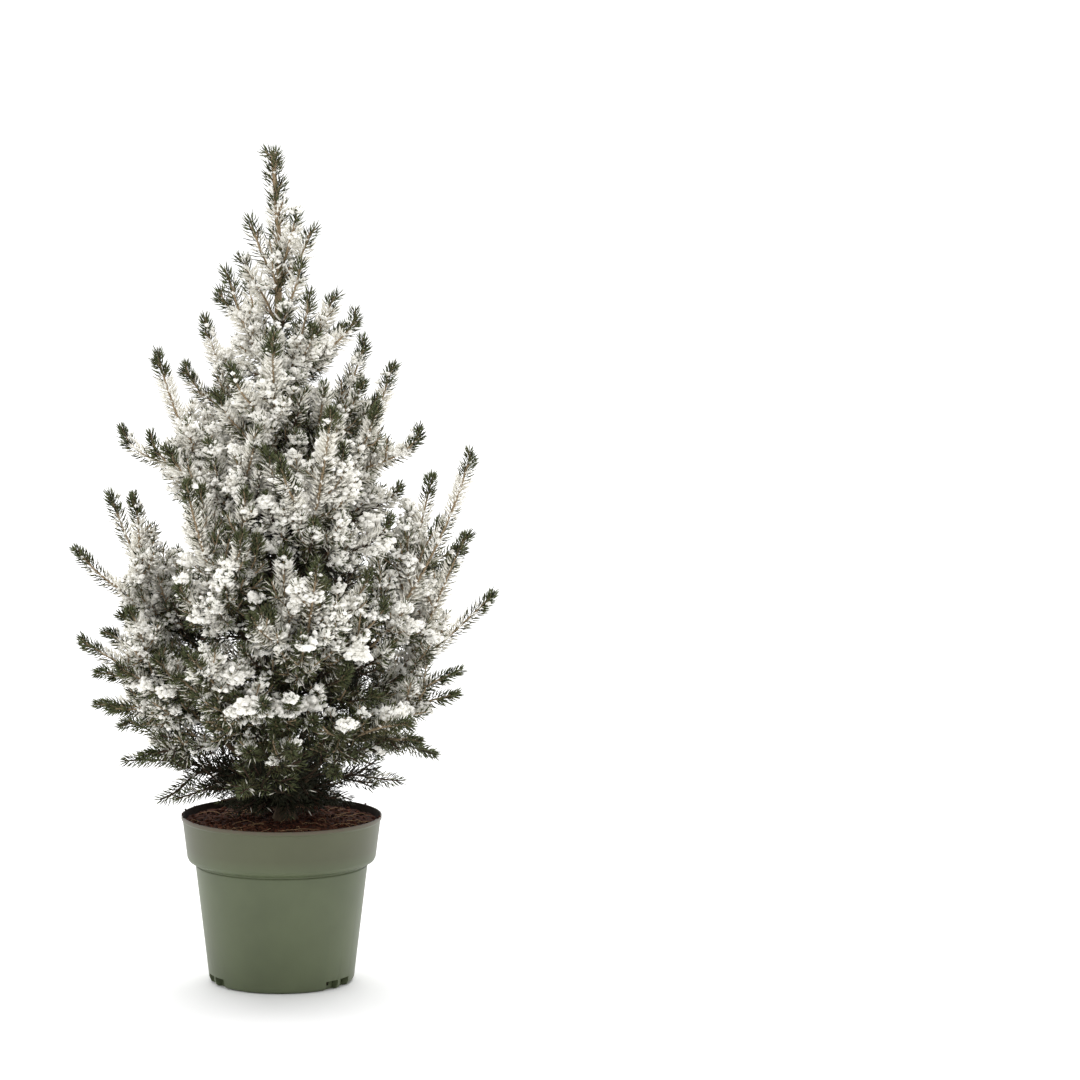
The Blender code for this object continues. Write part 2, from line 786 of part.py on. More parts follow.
def grow_boughs(space):
    """Lays out the boughs from the lowest up, each with the stem and the side shoot of its mass."""
    masses = []
    plans = sorted(enumerate(bough_plans(), 1), key=lambda item: item[1][2])
    for number, (azimuth, reach, height, fork_azimuth, fork_reach, fork_height) in plans:
        rng = random.Random(SEED * 100 + number)
        path = seated_path(space, azimuth, reach, height, 2.2 * BOUGH_TIP_RADIUS)
        cut = BOUGH_SHARE * path.length
        radius = BOUGH_FOOT_RADIUS + BOUGH_GROWTH * path.length
        points, faces = bough_mesh(path, cut, radius)
        bough = mesh_object(f"bough_{number:02d}", points, faces)
        dress(bough, BARK_COLOUR, 0.85, 50.0)
        space.add_mesh((bough.name, "wood"), points, faces)
        space.add_samples(path.samples(), radius, number)
        start = cut + GAP
        stem = Twig(path, STEM_RADIUS, rng.uniform(0.0, 120.0), path.heading(start), start)
        root = start + FORK_SHARE * (path.length - start)
        tip = outwards(fork_azimuth) * fork_reach + np.array((0.0, 0.0, fork_height))
        towards = unit(tip - path.at(root))
        leave = unit(path.heading(root) + FORK_LEAVING_PULL * towards)
        arrive = unit(aimed(fork_azimuth, tip_rise(fork_height)) + FORK_TIP_PULL * towards)
        fork = Twig(swept(path.at(root), leave, tip, arrive), TWIG_RADIUS, rng.uniform(0.0, 120.0), None)
        fork.bare = (0.0, CORE_BARE)
        space.add_samples(fork.path.samples(0.010), TWIG_RADIUS, number)
        name = f"foliage_{number:02d}"
        masses.append(Mass(number, name, stem, [fork], rng, TWIGS_PER_MASS, CORE_RADIUS))
    return masses


def grow_upper(space):
    """The masses that sit on the trunk itself, the leader first."""
    first = len(bough_plans()) + 1
    foot = TRUNK_TOP + GAP
    line = np.array([trunk_axis(height) for height in np.linspace(foot, PLANT_TOP, Path.FINE)])
    leader = Twig(Path(line), STEM_RADIUS, 0.0, np.array((0.0, 0.0, 1.0)), spacing=LEADER_SPACING)
    rng = random.Random(SEED * 100 + first)
    masses = [Mass(first, "foliage_leader", leader, [], rng, TWIGS_PER_UPPER_MASS, 0.0)]
    space.add_samples(leader.path.samples(), STEM_RADIUS, first)
    uppers = len(upper_plans()) - FOOT_WHORL[2]
    for number, (azimuth, reach, height) in enumerate(upper_plans(), first + 1):
        rng = random.Random(SEED * 100 + number)
        path = seated_path(space, azimuth, reach, height, TWIG_GAP - STEM_RADIUS)
        stem = Twig(path, STEM_RADIUS, rng.uniform(0.0, 120.0), outwards(azimuth))
        space.add_samples(path.samples(), STEM_RADIUS, number)
        name = f"foliage_upper_{number - first:02d}"
        widest = CORE_RADIUS * min(1.0, path.length / UPPER_FULL_LENGTH)
        if number - first > uppers:
            name = f"foliage_foot_{number - first - uppers}"
            widest = FOOT_WIDEST
        masses.append(Mass(number, name, stem, [], rng, TWIGS_PER_UPPER_MASS, widest))
    return masses


def bough_mesh(path, cut, radius):
    """A tapering limb, cut flat where it faces the trunk and where its foliage begins."""
    points = []
    side = np.cross(path.heading(0.0), (0.0, 0.0, 1.0))
    foot_plane = unit(path.heading(0.0) * (1.0, 1.0, 0.0))
    for index, along in enumerate(np.linspace(0.0, cut, BOUGH_RINGS)):
        heading = path.heading(along)
        side = unit(side - heading * np.dot(side, heading))
        across = np.cross(heading, side)
        size = radius + (BOUGH_TIP_RADIUS - radius) * index / (BOUGH_RINGS - 1)
        for corner in range(BOUGH_SIDES):
            angle = 2.0 * math.pi * corner / BOUGH_SIDES
            offset = (side * math.cos(angle) + across * math.sin(angle)) * size
            if index == 0:
                offset -= heading * (np.dot(offset, foot_plane) / np.dot(heading, foot_plane))
            points.append(path.at(along) + offset)
    faces = [tuple(reversed(range(BOUGH_SIDES)))]
    faces += band_faces(BOUGH_RINGS, BOUGH_SIDES)
    last = (BOUGH_RINGS - 1) * BOUGH_SIDES
    faces.append(tuple(range(last, last + BOUGH_SIDES)))
    return np.array(points), faces


# The foliage


def in_body(point, margin=0.0):
    """Whether a point keeps to the closed body of the crown and above the pot."""
    radial = math.hypot(point[0], point[1])
    in_height = LOWEST_FOLIAGE < point[2] < PLANT_TOP - NEEDLE_REACH
    return in_height and radial < body_radius(point[2]) - margin


def core_rings(mass, space):
    """Rings of the core, each corner as far out as the mass's own space and the crown's body allow."""
    stem = mass.stem
    free = stem.path.length - stem.start
    limbs = space.owners == TRUNK_OWNER
    others = (space.owners != TRUNK_OWNER) & (space.owners != mass.number)
    rings = []
    side = np.cross(stem.path.heading(stem.start), SKEW)
    length = CORE_SHARE * free - CORE_SETBACK
    count = max(3, round(length / CORE_SPACING) + 1)
    for index in range(count):
        share = index / (count - 1)
        along = stem.start + CORE_SETBACK + length * share
        centre = stem.path.at(along)
        heading = stem.path.heading(along)
        side = unit(side - heading * np.dot(side, heading))
        across = np.cross(heading, side)
        bulge = math.sin(math.pi * (0.20 + 0.60 * share))
        corners = []
        for corner in range(CORE_SIDES):
            angle = 2.0 * math.pi * (corner + 0.5 * (index % 2)) / CORE_SIDES
            out = side * math.cos(angle) + across * math.sin(angle)
            target = mass.widest * bulge * mass.rng.uniform(0.88, 1.12)
            reach = CORE_LEAST * bulge
            while reach < target:
                point = (centre + out * (reach + CORE_STEP))[None]
                if space.nearest(point, limbs) < CORE_MARGIN or not in_body(point[0], CORE_STEP):
                    break
                if space.nearest(point, others) < reach + CORE_MARGIN:
                    break
                reach += CORE_STEP
            corners.append(centre + out * reach)
        rings.append(Ring(np.array(corners), centre, heading, along))
    return rings


def grow_cores(masses, space):
    """A dense core for each mass. One that would touch another node is drawn in towards its stem."""
    for mass in masses:
        if not mass.widest:
            continue
        rings = core_rings(mass, space)
        tip = mass.stem.path.at(rings[-1].along + CORE_SETBACK)
        for _ in range(CORE_TRIES):
            points, faces = needled(rings, tip, never)
            grown = points + (points - points.mean(axis=0)) * CORE_GROWTH
            if space.is_free(grown, faces, mass.name):
                break
            for ring in rings:
                ring.corners = ring.centre + (ring.corners - ring.centre) * CORE_SHRINK
        mass.stem.bare = (rings[0].along, rings[-1].along)
        mass.core = (rings, tip)
        space.add_mesh((mass.name, "core"), points, faces)


def branch(mass, index, attempt):
    """One more twig from the stem or its side shoot, by the golden angle, shorter near the tip."""
    rng = mass.rng
    parent = mass.twigs[0] if mass.twigs and index % 3 == 2 else mass.stem
    free = parent.path.length - parent.start
    share = 0.10 + 0.72 * ((index * GOLDEN_SHARE + 0.1 + 0.07 * attempt) % 1.0)
    root = parent.start + share * free
    heading = parent.path.heading(root)
    side = unit(np.cross(heading, SKEW))
    across = np.cross(heading, side)
    turn = math.radians(index * GOLDEN_ANGLE + attempt * 52.0 + rng.uniform(-12.0, 12.0))
    out = side * math.cos(turn) + across * math.sin(turn)
    opening = math.radians(TWIG_ANGLE + rng.uniform(-7.0, 7.0))
    leave = heading * math.cos(opening) + out * math.sin(opening)
    length = TWIG_LENGTH * (1.0 - 0.40 * share) * rng.uniform(0.88, 1.1) * 0.95**attempt
    start = parent.path.at(root)
    arrive = unit(leave + 0.45 * heading + np.array((0.0, 0.0, TWIG_LIFT)))
    end = start + unit(leave + 0.5 * arrive) * length
    twig = Twig(swept(start, leave, end, arrive), TWIG_RADIUS, rng.uniform(0.0, 120.0), None)
    in_core = parent is mass.stem and share < CORE_SHARE and mass.widest
    twig.bare = (0.0, CORE_BARE if in_core else 0.5 * RING_SPACING)
    return twig


def has_room(twig, mass, space):
    """Whether a twig stays in the crown's body and clear of everything but the core that it grows from."""
    outer = twig.path.samples(TWIG_CLEAR_FROM)
    if not all(in_body(point, -TWIG_OVERSHOOT) for point in outer[-2:]):
        return False
    if space.nearest(twig.path.samples(0.5 * TWIG_CLEAR_FROM), space.owners != mass.number) < TWIG_GAP:
        return False
    if space.nearest(outer, space.owners == mass.number) < 0.5 * TWIG_GAP:
        return False
    points, faces = needled(twig.rings(), twig.path.at(twig.path.length), never)
    grown = points + (points - np.array([twig.path.at(0.5 * twig.path.length)])) * CORE_GROWTH
    return space.is_free(grown, faces, mass.name)


def grow_twigs(masses, space):
    """Each mass gets one twig after another in turn, and a twig that finds no room is left out."""
    for index in range(max(mass.wanted for mass in masses)):
        for mass in masses:
            if index >= mass.wanted:
                continue
            for attempt in range(TWIG_TRIES):
                twig = branch(mass, index, attempt)
                if has_room(twig, mass, space):
                    mass.twigs.append(twig)
                    space.add_samples(twig.path.samples(TWIG_CLEAR_FROM), TWIG_RADIUS, mass.number)
                    break


def fit_needles(masses, space):
    """Fits needles twig by twig, so that none of them touches another twig, core or limb."""
    for mass in masses:
        for index, twig in enumerate(mass.all_twigs()):
            bare = needled(twig.rings(), twig.path.at(twig.path.length), never)
            space.add_mesh((mass.name, index), *bare)
    for mass in masses:
        for index, twig in enumerate(mass.all_twigs()):
            own = (mass.name, index)
            test = needle_test(space, own, twig.is_bare)
            space.add_mesh(own, *needled(twig.rings(), twig.path.at(twig.path.length), test))
        if mass.widest:
            own = (mass.name, "core")
            rings, tip = mass.core
            test = needle_test(space, own, lambda along: False)
            space.add_mesh(own, *needled(rings, tip, test, CORE_RISE, CORE_REACH))


def needle_test(space, own, is_bare):
    """A function that says whether a needle may grow on the piece with this key."""
    _, _, low, high = space.meshes[own]
    margin = CORE_RISE + CORE_REACH
    tree = space.tree_near(low - margin, high + margin, lambda key: key == own)

    def may_grow(along, needle):
        if is_bare(along):
            return False
        return tree is None or not tree_of(needle, NEEDLE_FACES).overlap(tree)

    return may_grow


def snow_lump(centre, radius, rng):
    """A lumpy ball of snow as points and faces."""
    bm = bmesh.new()
    bmesh.ops.create_icosphere(bm, subdivisions=1, radius=radius)
    points = []
    for vert in bm.verts:
        scaled = vert.co * rng.uniform(0.86, 1.12)
        points.append(np.array((scaled.x, scaled.y, scaled.z * SNOW_FLATNESS)) + centre)
    faces = [tuple(vert.index for vert in face.verts) for face in bm.faces]
    bm.free()
    return np.array(points), faces


def lay_snow(masses, space):
    """Puts lumps on the upper side of the twigs where they touch no other node."""
    for mass in masses:
        laid = 0
        for twig in mass.all_twigs():
            if laid == SNOW_PER_MASS or mass.widest < CORE_RADIUS:
                break
            share = mass.rng.uniform(0.62, 0.80)
            along = twig.start + (twig.path.length - twig.start) * share
            radius = SNOW_RADIUS * mass.rng.uniform(0.8, 1.1)
            centre = twig.path.at(along) + np.array((0.0, 0.0, 0.45 * radius))
            points, faces = snow_lump(centre, radius, mass.rng)
            grown = centre + (points - centre) * (1.0 + 2 * NEEDLE_MARGIN / radius)
            if space.is_free(grown, faces, mass.name):
                space.add_mesh((mass.name, f"snow {laid}"), points, faces)
                laid += 1


def make_masses(masses, space):
    """Fuses the stem, core, twigs and snow of each mass into one solid."""
    for mass in masses:
        shapes = [(space.meshes[key][:2]) for key in sorted(space.meshes, key=str) if key[0] == mass.name]
        pieces = [
            mesh_object(f"{mass.name} piece {index}", points, faces)
            for index, (points, faces) in enumerate(shapes)
        ]
        foliage = pieces[0]
        foliage.name = mass.name
        fuse(foliage, pieces[1:])
        tint = random.Random(mass.number).uniform(0.88, 1.12)
        dress(foliage, [channel * tint for channel in FOLIAGE_COLOUR], 0.8)


def object_mesh(obj):
    points = np.array([tuple(vert.co) for vert in obj.data.vertices])
    return points, [tuple(face.vertices) for face in obj.data.polygons]


def main():
    clear_scene()
    make_pot()
    make_soil()
    make_trunk()
    space = Space()
    for name in ("pot", "soil", "trunk"):
        space.add_mesh((name, "whole"), *object_mesh(bpy.data.objects[name]))
    for height in np.arange(SOIL_TOP, TRUNK_TOP, SAMPLE_STEP):
        space.add_samples(trunk_axis(height)[None], trunk_radius(height), TRUNK_OWNER)
    masses = grow_boughs(space) + grow_upper(space)
    grow_cores(masses, space)
    grow_twigs(masses, space)
    fit_needles(masses, space)
    lay_snow(masses, space)
    make_masses(masses, space)


main()
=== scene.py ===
"""Looks of a potted dwarf spruce dusted with snow, in a round plastic nursery pot.

The limbs are laid out by the rule of the part's source, and here they carry finer shoots with needles of
their real size. Metres, +Z up. The front is -Y, and an azimuth is in degrees from the front towards +X.
"""

import dataclasses
import math
import random

import bmesh
import bpy
import numpy as np
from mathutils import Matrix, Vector, noise


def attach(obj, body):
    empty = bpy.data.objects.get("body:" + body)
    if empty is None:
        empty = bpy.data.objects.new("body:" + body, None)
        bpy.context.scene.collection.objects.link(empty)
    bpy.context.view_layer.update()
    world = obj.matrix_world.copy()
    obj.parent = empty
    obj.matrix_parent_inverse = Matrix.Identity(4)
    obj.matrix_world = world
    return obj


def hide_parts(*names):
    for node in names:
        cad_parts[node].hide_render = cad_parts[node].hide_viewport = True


SEED = 7
GOLDEN_ANGLE = 137.508
GOLDEN_SHARE = 0.618034
SKEW = (0.31, 0.17, 0.94)

# Pot, as in the part's source
POT_HEIGHT = 0.1595
RIM_RADIUS = 0.0950
RIM_LIP = 0.0012
RIM_LIP_HEIGHT = 0.0035
COLLAR_HEIGHT = 0.0415
COLLAR_FOOT_RADIUS = 0.0893
COLLAR_STEP_HEIGHT = 0.0052
WALL_TOP_RADIUS = 0.0817
FOOT_RADIUS = 0.0686
CORNER_RADIUS = 0.0045
WALL = 0.0018
FLOOR = 0.0025
POT_SEGMENTS = 144
EDGE_ROUNDING = 0.0006
GROOVE = 0.0011
RECESS_AZIMUTHS = (51.0, -65.5, 172.0)
RECESS_HALF_ANGLE = 14.0
RECESS_DEPTH = 0.0062
RECESS_HEIGHT = 0.0090
RIB_HALF_ANGLE = 1.4
SLOT_HALF_ANGLE = 1.3
SLOT_OFFSET_ANGLE = 7.5
SLOT_LOW = 0.0036
SLOT_HIGH = 0.0074

# Soil and what lies on it
SOIL_EDGE = 0.1530
SOIL_TOP = 0.1545
SOIL_RINGS = 56
SOIL_SEGMENTS = 132
SOIL_ROUGHNESS = 0.0022
CRUMBS = 900
CRUMB_SIZES = (0.0008, 0.0026)
CHIPS = 260
CHIP_SIZES = (0.0035, 0.0090)
FIBRES = 46
FIBRE_RADIUS = 0.00034
RIM_CRUMBS = 26
RIM_CRUMB_SHARE = 0.55
RIM_CRUMB_AZIMUTHS = (-150.0, 150.0)
CRUMB_FLATNESS = 0.75
CRUMB_ROUGHNESS = 0.28
SCATTER_SHARES = (0.97, 0.93)
SOIL_GRAIN = (60.0, 190.0, 0.55)
FIBRE_LENGTHS = (0.010, 0.030)
FIBRE_STEPS = 8
FIBRE_SIDES = 4
FIBRE_BEND = 70.0
FIBRE_INSET = 0.012
FIBRE_MARGIN = 0.002
FIBRE_CLEAR = 0.0009
FIBRE_ARCH = 0.0022
# The long fibre at the front: x, y, azimuth, length and bend
LONG_FIBRE = (-0.006, -0.060, 84.0, 0.044, 34.0)

# Trunk, as in the part's source
TRUNK_TOP = 0.700
TRUNK_FOOT_RADIUS = 0.0086
TRUNK_TOP_RADIUS = 0.0019
FLARE = 0.0042
FLARE_HEIGHT = 0.0075
TRUNK_FOOT_X = 0.003
TRUNK_TOP_X = -0.003
TRUNK_SWAY = 0.0022
PLANT_TOP = 0.788
PLANT_TOP_X = -0.009
TRUNK_SIDES = 20
BARK_STEP = 0.0024
BARK_RELIEF = 0.09
RIDGE_SCALE = (420.0, 130.0)
PEG_SCALE = (700.0, 600.0)
PEG_LEVEL = 0.25
PEG_HEIGHT = 2.2
BOUGH_RINGS = 24
WOOD_SAMPLES = (0.004, 0.007)
WOOD_RINGS = (0.010, 0.018)
WOOD_SIDES = {1: 6, 2: 4}

# Crown, as in the part's source
BODY_PROFILE = (
    (0.170, 0.070),
    (0.221, 0.118),
    (0.268, 0.141),
    (0.345, 0.156),
    (0.410, 0.138),
    (0.458, 0.116),
    (0.553, 0.092),
    (0.600, 0.064),
    (0.648, 0.045),
    (0.742, 0.018),
    (0.788, 0.009),
)
SHOOT_STANDOUT = 0.034
SIDE_BOUGHS = (
    (-82.0, (0.115, 0.595), (0.150, 0.522)),
    (-106.0, (0.162, 0.458), (0.190, 0.414)),
    (-74.0, (0.184, 0.332), (0.173, 0.263)),
    (-99.0, (0.149, 0.207), (0.114, 0.178)),
    (98.0, (0.104, 0.584), (0.129, 0.527)),
    (76.0, (0.176, 0.506), (0.143, 0.479)),
    (103.0, (0.201, 0.362), (0.173, 0.428)),
    (79.0, (0.163, 0.278), (0.144, 0.214)),
)
FAN_MIDDLES = (0.0, 180.0)
FAN_BOUGHS = 6
FAN_HALF_ANGLE = 52.0
FAN_LOW = 0.205
FAN_HIGH = 0.560
FAN_FIRST_SHARE = 0.15
FORK_TURN = 21.0
FORK_DROP = 0.046
FORK_SHARE = 0.16
FORK_LEAVING_PULL = 0.9
FORK_TIP_PULL = 0.15
UPPER_WHORLS = (
    ((0.029, 0.722), (0.027, 0.712), 2, -90.0),
    ((0.055, 0.674), (0.051, 0.649), 4, -62.0),
    ((0.075, 0.628), (0.078, 0.608), 4, -98.0),
    ((0.086, 0.520), (0.086, 0.505), 4, -140.0),
)
FOOT_WHORL = ((0.076, 0.192), (0.076, 0.192), 2, 12.0)
GAP = 0.0003
BOUGH_FOOT_RADIUS = 0.0026
BOUGH_GROWTH = 0.0055
BOUGH_TIP_RADIUS = 0.0021
BOUGH_SHARE = 0.34
BOUGH_SIDES = 10
LOWEST_FOOT = 0.1720
FOOT_STEP = 0.0060
FOOT_TRIES = 30
TRUNK_CLIMB = 0.45
TRUNK_LEAN = 1.6
TRUNK_WAVE = 0.42
TIP_RISES = (-10.0, 84.0)
TIP_RISE_HEIGHTS = (0.17, 0.50)
CHORD_RISES = (12.0, 50.0, 0.6)
CHORD_HEIGHTS = (0.18, 0.42)
LEAVING_RISES = (4.0, 66.0)
HANDLE = 0.36
STEM_RADIUS = 0.0028
TWIG_RADIUS = 0.0024
TWIG_GAP = 0.0085
SAMPLE_STEP = 0.003
FINE = 64

# Shoots that end at places seen on the outline or on the front: x, y, height and climb at the tip
OUTLINE_TIPS = (
    (-0.037, 0.006, 0.686, 62.0), (-0.058, -0.012, 0.655, 60.0), (0.014, -0.014, 0.727, 70.0),
    (0.018, -0.026, 0.680, 70.0), (0.055, 0.014, 0.621, 62.0), (0.070, -0.020, 0.634, 66.0),
    (0.112, 0.020, 0.469, 50.0), (0.170, 0.030, 0.410, 25.0), (-0.171, -0.030, 0.300, 5.0),
    (-0.150, 0.050, 0.240, 0.0), (0.163, -0.040, 0.300, 15.0), (0.113, 0.030, 0.186, -4.0),
    (-0.098, -0.050, 0.184, -6.0), (0.052, -0.060, 0.540, 74.0), (0.040, -0.040, 0.569, 78.0),
    (-0.012, -0.095, 0.470, 78.0), (-0.052, -0.090, 0.440, 70.0), (0.080, -0.105, 0.400, 62.0),
    (0.020, -0.150, 0.345, 58.0), (-0.075, -0.140, 0.320, 48.0), (0.060, -0.135, 0.262, 22.0),
    (-0.030, -0.125, 0.240, 18.0), (-0.070, 0.135, 0.330, 48.0), (0.075, 0.130, 0.290, 40.0),
    (0.020, 0.120, 0.420, 66.0), (-0.030, 0.115, 0.235, 16.0), (-0.058, -0.050, 0.562, 76.0),
    (-0.025, -0.080, 0.531, 80.0), (-0.012, -0.052, 0.605, 82.0), (0.030, -0.040, 0.624, 76.0),
    (0.011, -0.108, 0.486, 80.0), (0.088, -0.040, 0.547, 72.0), (0.099, -0.070, 0.447, 70.0),
    (-0.090, 0.005, 0.585, 76.0), (-0.104, -0.050, 0.512, 74.0), (-0.075, -0.080, 0.477, 76.0),
    (0.057, -0.080, 0.515, 76.0), (-0.141, -0.060, 0.363, 58.0), (-0.094, -0.105, 0.392, 70.0),
    (-0.052, -0.125, 0.401, 74.0), (0.038, -0.130, 0.392, 72.0), (0.094, -0.105, 0.373, 64.0),
    (-0.010, -0.138, 0.372, 70.0), (-0.040, -0.128, 0.292, 40.0), (0.010, -0.135, 0.290, 38.0),
    (-0.022, -0.118, 0.436, 78.0), (0.002, -0.118, 0.424, 76.0), (-0.034, -0.104, 0.478, 80.0),
    (0.030, -0.110, 0.450, 76.0), (-0.012, -0.088, 0.512, 82.0), (-0.122, -0.020, 0.520, 72.0),
    (-0.140, -0.010, 0.462, 66.0), (0.018, -0.054, 0.562, 76.0), (0.040, -0.048, 0.532, 72.0),
    (-0.020, -0.084, 0.498, 76.0), (0.100, -0.072, 0.330, 44.0), (0.085, 0.070, 0.335, 44.0),
    (0.112, 0.010, 0.290, 30.0), (-0.150, 0.004, 0.350, 44.0), (-0.158, -0.040, 0.268, 6.0),
    (-0.128, -0.068, 0.228, 0.0), (0.128, -0.062, 0.240, 4.0), (-0.006, -0.122, 0.266, 22.0),
    (0.030, -0.120, 0.268, 22.0), (-0.045, -0.080, 0.590, 78.0), (0.100, -0.010, 0.400, 60.0),
    (0.014, -0.064, 0.528, 66.0), (-0.162, -0.015, 0.335, 30.0), (-0.150, -0.062, 0.308, 24.0),
    (0.150, -0.020, 0.440, 50.0), (0.160, 0.004, 0.398, 36.0), (0.060, -0.116, 0.312, 36.0),
    (0.086, -0.096, 0.288, 24.0), (-0.034, -0.120, 0.336, 46.0), (0.004, -0.056, 0.170, -12.0),
    (0.026, -0.048, 0.172, -8.0), (-0.022, -0.050, 0.172, -8.0),
)
TIP_BACK = 0.085
TIP_BACK_BEND = (0.3, 20.0)
REACHING_PULL = 1.2
REACHING_RADIUS = 0.0014
LIMB_BARE = 0.004
LIMB_RADIUS = 0.0016
FORK_BARE = 0.006

# Side shoots: spacing along the parent, share of the parent where they start, and their length
SIDE_SPACING = 0.0100
SIDE_FIRST_SHARE = 0.20
SIDE_LAST = 0.032
SIDE_ANGLE = 50.0
SIDE_LIFT = (0.30, 1.60)
SIDE_LENGTH = (0.020, 0.064)
SIDE_GROWTH = 0.46
SIDE_SHORTER = 0.30
SMALL_SPACING = 0.0105
SMALL_FIRST = 0.010
SMALL_LENGTH = (0.010, 0.024)
SMALL_GROWTH = 0.45
SMALL_LIFT = 0.35
SHOOT_TRIES = 8
BUD = 4
CELL = 0.0090
CROWDED = 0.20
BODY_OVERSHOOT = (0.003, -0.012)
TOP_SPACING = 2.3
LOWEST_SHOOT = 0.1665
SHOOT_RADIUS = 0.00100
SHOOT_TIP_RADIUS = 0.00075
SHOOT_FINE = 14
SIDE_BARE = 0.003
SIDE_ANGLE_SPREAD = 8.0
SIDE_BEND = (0.6, 0.40)
SIDE_SWING = 0.7
SIDE_LIFT_HEIGHTS = (0.20, 0.42)
SIDE_SHORTER_HEIGHTS = (0.46, 0.56)
SMALL_LAST = 0.012
SMALL_PARENT = 2.4
TRY_TURN = 51.0
TRY_SHRINK = 0.94
OVERSHOOT_HEIGHTS = (0.50, 0.62)
TOP_CLEAR = 0.02
# Heights over which shoots stand wider apart and needles fewer and longer
TOP_HEIGHTS = (0.58, 0.66)

# Upright columns all round: tries, heights and least distance between tips, and buds at and below the tips
COLUMN_TRIES = 400
COLUMN_HEIGHTS = (0.255, 0.650)
COLUMN_ROOM = 0.029
COLUMN_INSET = 0.020
COLUMN_RISE = 45.0
COLUMN_FALL = 10.0
BUD_LENGTH = 0.0085
BUD_ANGLE = 27.0
BUD_PLACES = (0.005, 0.011, 0.020)
LEADER_BUDS = 0.0105
LEADER_BARE = 0.110
LEADER_RADIUS = 0.0048
LEADER_TIP_RADIUS = 0.0019
LEADER_BUD_GROWTH = 1.45
LEADER_BUDS_FROM = 0.45
LEADER_BUDS_END = 0.012
LEADER_BELOW = 0.16
BUD_LOWEST = 0.21
BUD_SPREAD = 6.0
BUD_PULL = 0.5
BUD_BARE = 0.001
BUD_FINE = 8
PLANT_TOP_GAP = 0.002

# Share of the trunk's radius at which short shoots start
TRUNK_SHARE = 0.6

# Low shoots round the foot of the trunk: count, height of their feet, reach and height of their tips
SKIRT_SHOOTS = 42
SKIRT_FEET = (0.167, 0.196)
SKIRT_REACH = (0.038, 0.086)
SKIRT_TIPS = (0.168, 0.206)

# Short shoots that hide the trunk inside the crown, their needles mostly painted dark as painted shade: count,
# heights of their feet, reach and climb
INNER_SHOOTS = 90
INNER_FEET = (0.190, 0.600)
INNER_REACH = (0.030, 0.058)
INNER_CLIMB = (0.006, 0.034)

# Needles
NEEDLES_PER_METRE = 1410.0
ORDER_NEEDLES = (1.0, 1.5, 1.0, 1.0, 2.3)
INNER_NEEDLES = 0.55
MAIN_STRETCH = 0.16
FREE_TIP = 0.0118
LEADER_FOOT = 0.74
NEEDLE_LENGTH = 0.0116
NEEDLE_RADIUS = 0.00062
NEEDLE_RADII = {"frosted": 0.00074, "flocked": 0.00126}
ROOT_ANGLE = 62.0
TIP_ANGLE = 45.0
TUFT_LENGTH = 0.012
MOST_FACES = 198000
FREE_SHARES = (0.86, 1.06)
FEWEST_NEEDLES = 3
NEEDLE_PLACING = 0.6
NEEDLE_TURN = 14.0
NEEDLE_ANGLE_SPREAD = 8.0
TUFT_CLOSING = (30.0, 24.0)
TUFT_SHORTER = 0.22
NEEDLE_LENGTHS = (0.82, 1.10)
NEEDLE_HALVES = (0.45, 0.55)
LEADER_STRETCH = 0.28
TOP_THINNING = 0.40
TOP_STRETCH = 0.20
SNOW_MARKS = 7
GREEN_TIP = 0.004
FRESH_TIP = 0.018
DARK_SHARE = 0.22
FRESH_FROM = 0.40

# Snow: lumps on the shoots, caps on their tips, and clumps
LUMPS_PER_METRE = 480.0
LUMP_SIZES = (0.0009, 0.0030)
SMALL_LUMP = 0.0024
LUMP_OFFSETS = (0.0025, 0.0090)
PATCH_SCALE = 24.0
CAP_LUMPS = (9, 18)
CAP_SHARE = 1.60
CAP_SPREAD = 0.0052
CLUMP_LUMPS = 74
CLUMP_LUMP_SIZES = (0.0013, 0.0031)
CLUMP_SPREAD = 0.0108
SNOW_FLATNESS = 0.82
RANDOM_CLUMPS = 165
CLUMP_DEPTH = (0.74, 1.04)
CLUMP_LOWEST = 0.215
CLUMP_SAMPLES = 0.006
CLUMP_LIFT = 0.002
CLUMP_RANDOM_SIZES = (0.40, 0.85)
CLUMP_FULL_RADIUS = 0.06
CLUMP_FILL = 0.4
CLUMP_HEIGHT = 0.75
CLUMP_SINK = 0.4
CLUMP_ROUGHNESS = 0.34
FRONT_SIDE = -0.01
FRONT_PULL = (0.10, 0.15)
LUMP_ROUGHNESS = 0.30
LUMP_DRAW = (-0.25, 0.55)
LUMP_BARE = 0.009
LUMP_LIFT = 0.50
LUMP_AHEAD = 0.5
LUMP_SHARE = 1.6
LUMP_SMALLER = 1.5
CAP_SCATTER = 0.62
CAP_SINK = 0.3
CAP_LIFT = 0.0015
CAP_SMALLEST = 0.4
CAP_BACK = 0.003
OUTSIDE = 1.06
OCTAHEDRON_RADIUS = 1.15

# Snow that a place takes: amounts, and (start, width) of each change by depth or by height
OUTER_SNOW = 1.15
OUTER_SNOW_DEPTH = (0.58, 0.26)
UPPER_SNOW = 1.30
UPPER_SNOW_HEIGHT = (0.40, 0.16)
UPPER_SNOW_DEPTH = (0.25, 0.20)
TOP_SNOW = 0.70
TOP_SNOW_HEIGHT = (0.66, 0.05)
TIP_SNOW_LOSS = 0.50
TIP_SNOW_DEPTH = (1.02, 0.15)
LOW_SNOW_HEIGHT = (0.210, 0.21)
LEAST_SNOW = 0.04
UPSIDE_SNOW = (0.54, 0.46)
PATCH_HEIGHT = (0.34, 0.20)
PATCH_BIAS = (0.10, 0.14)
PATCH_WIDTH = (0.20, 0.10)
NEEDLE_SNOW = (0.16, 1.34)
FLOCKED_SHARE = 0.95
FROSTED_SHARE = 0.72
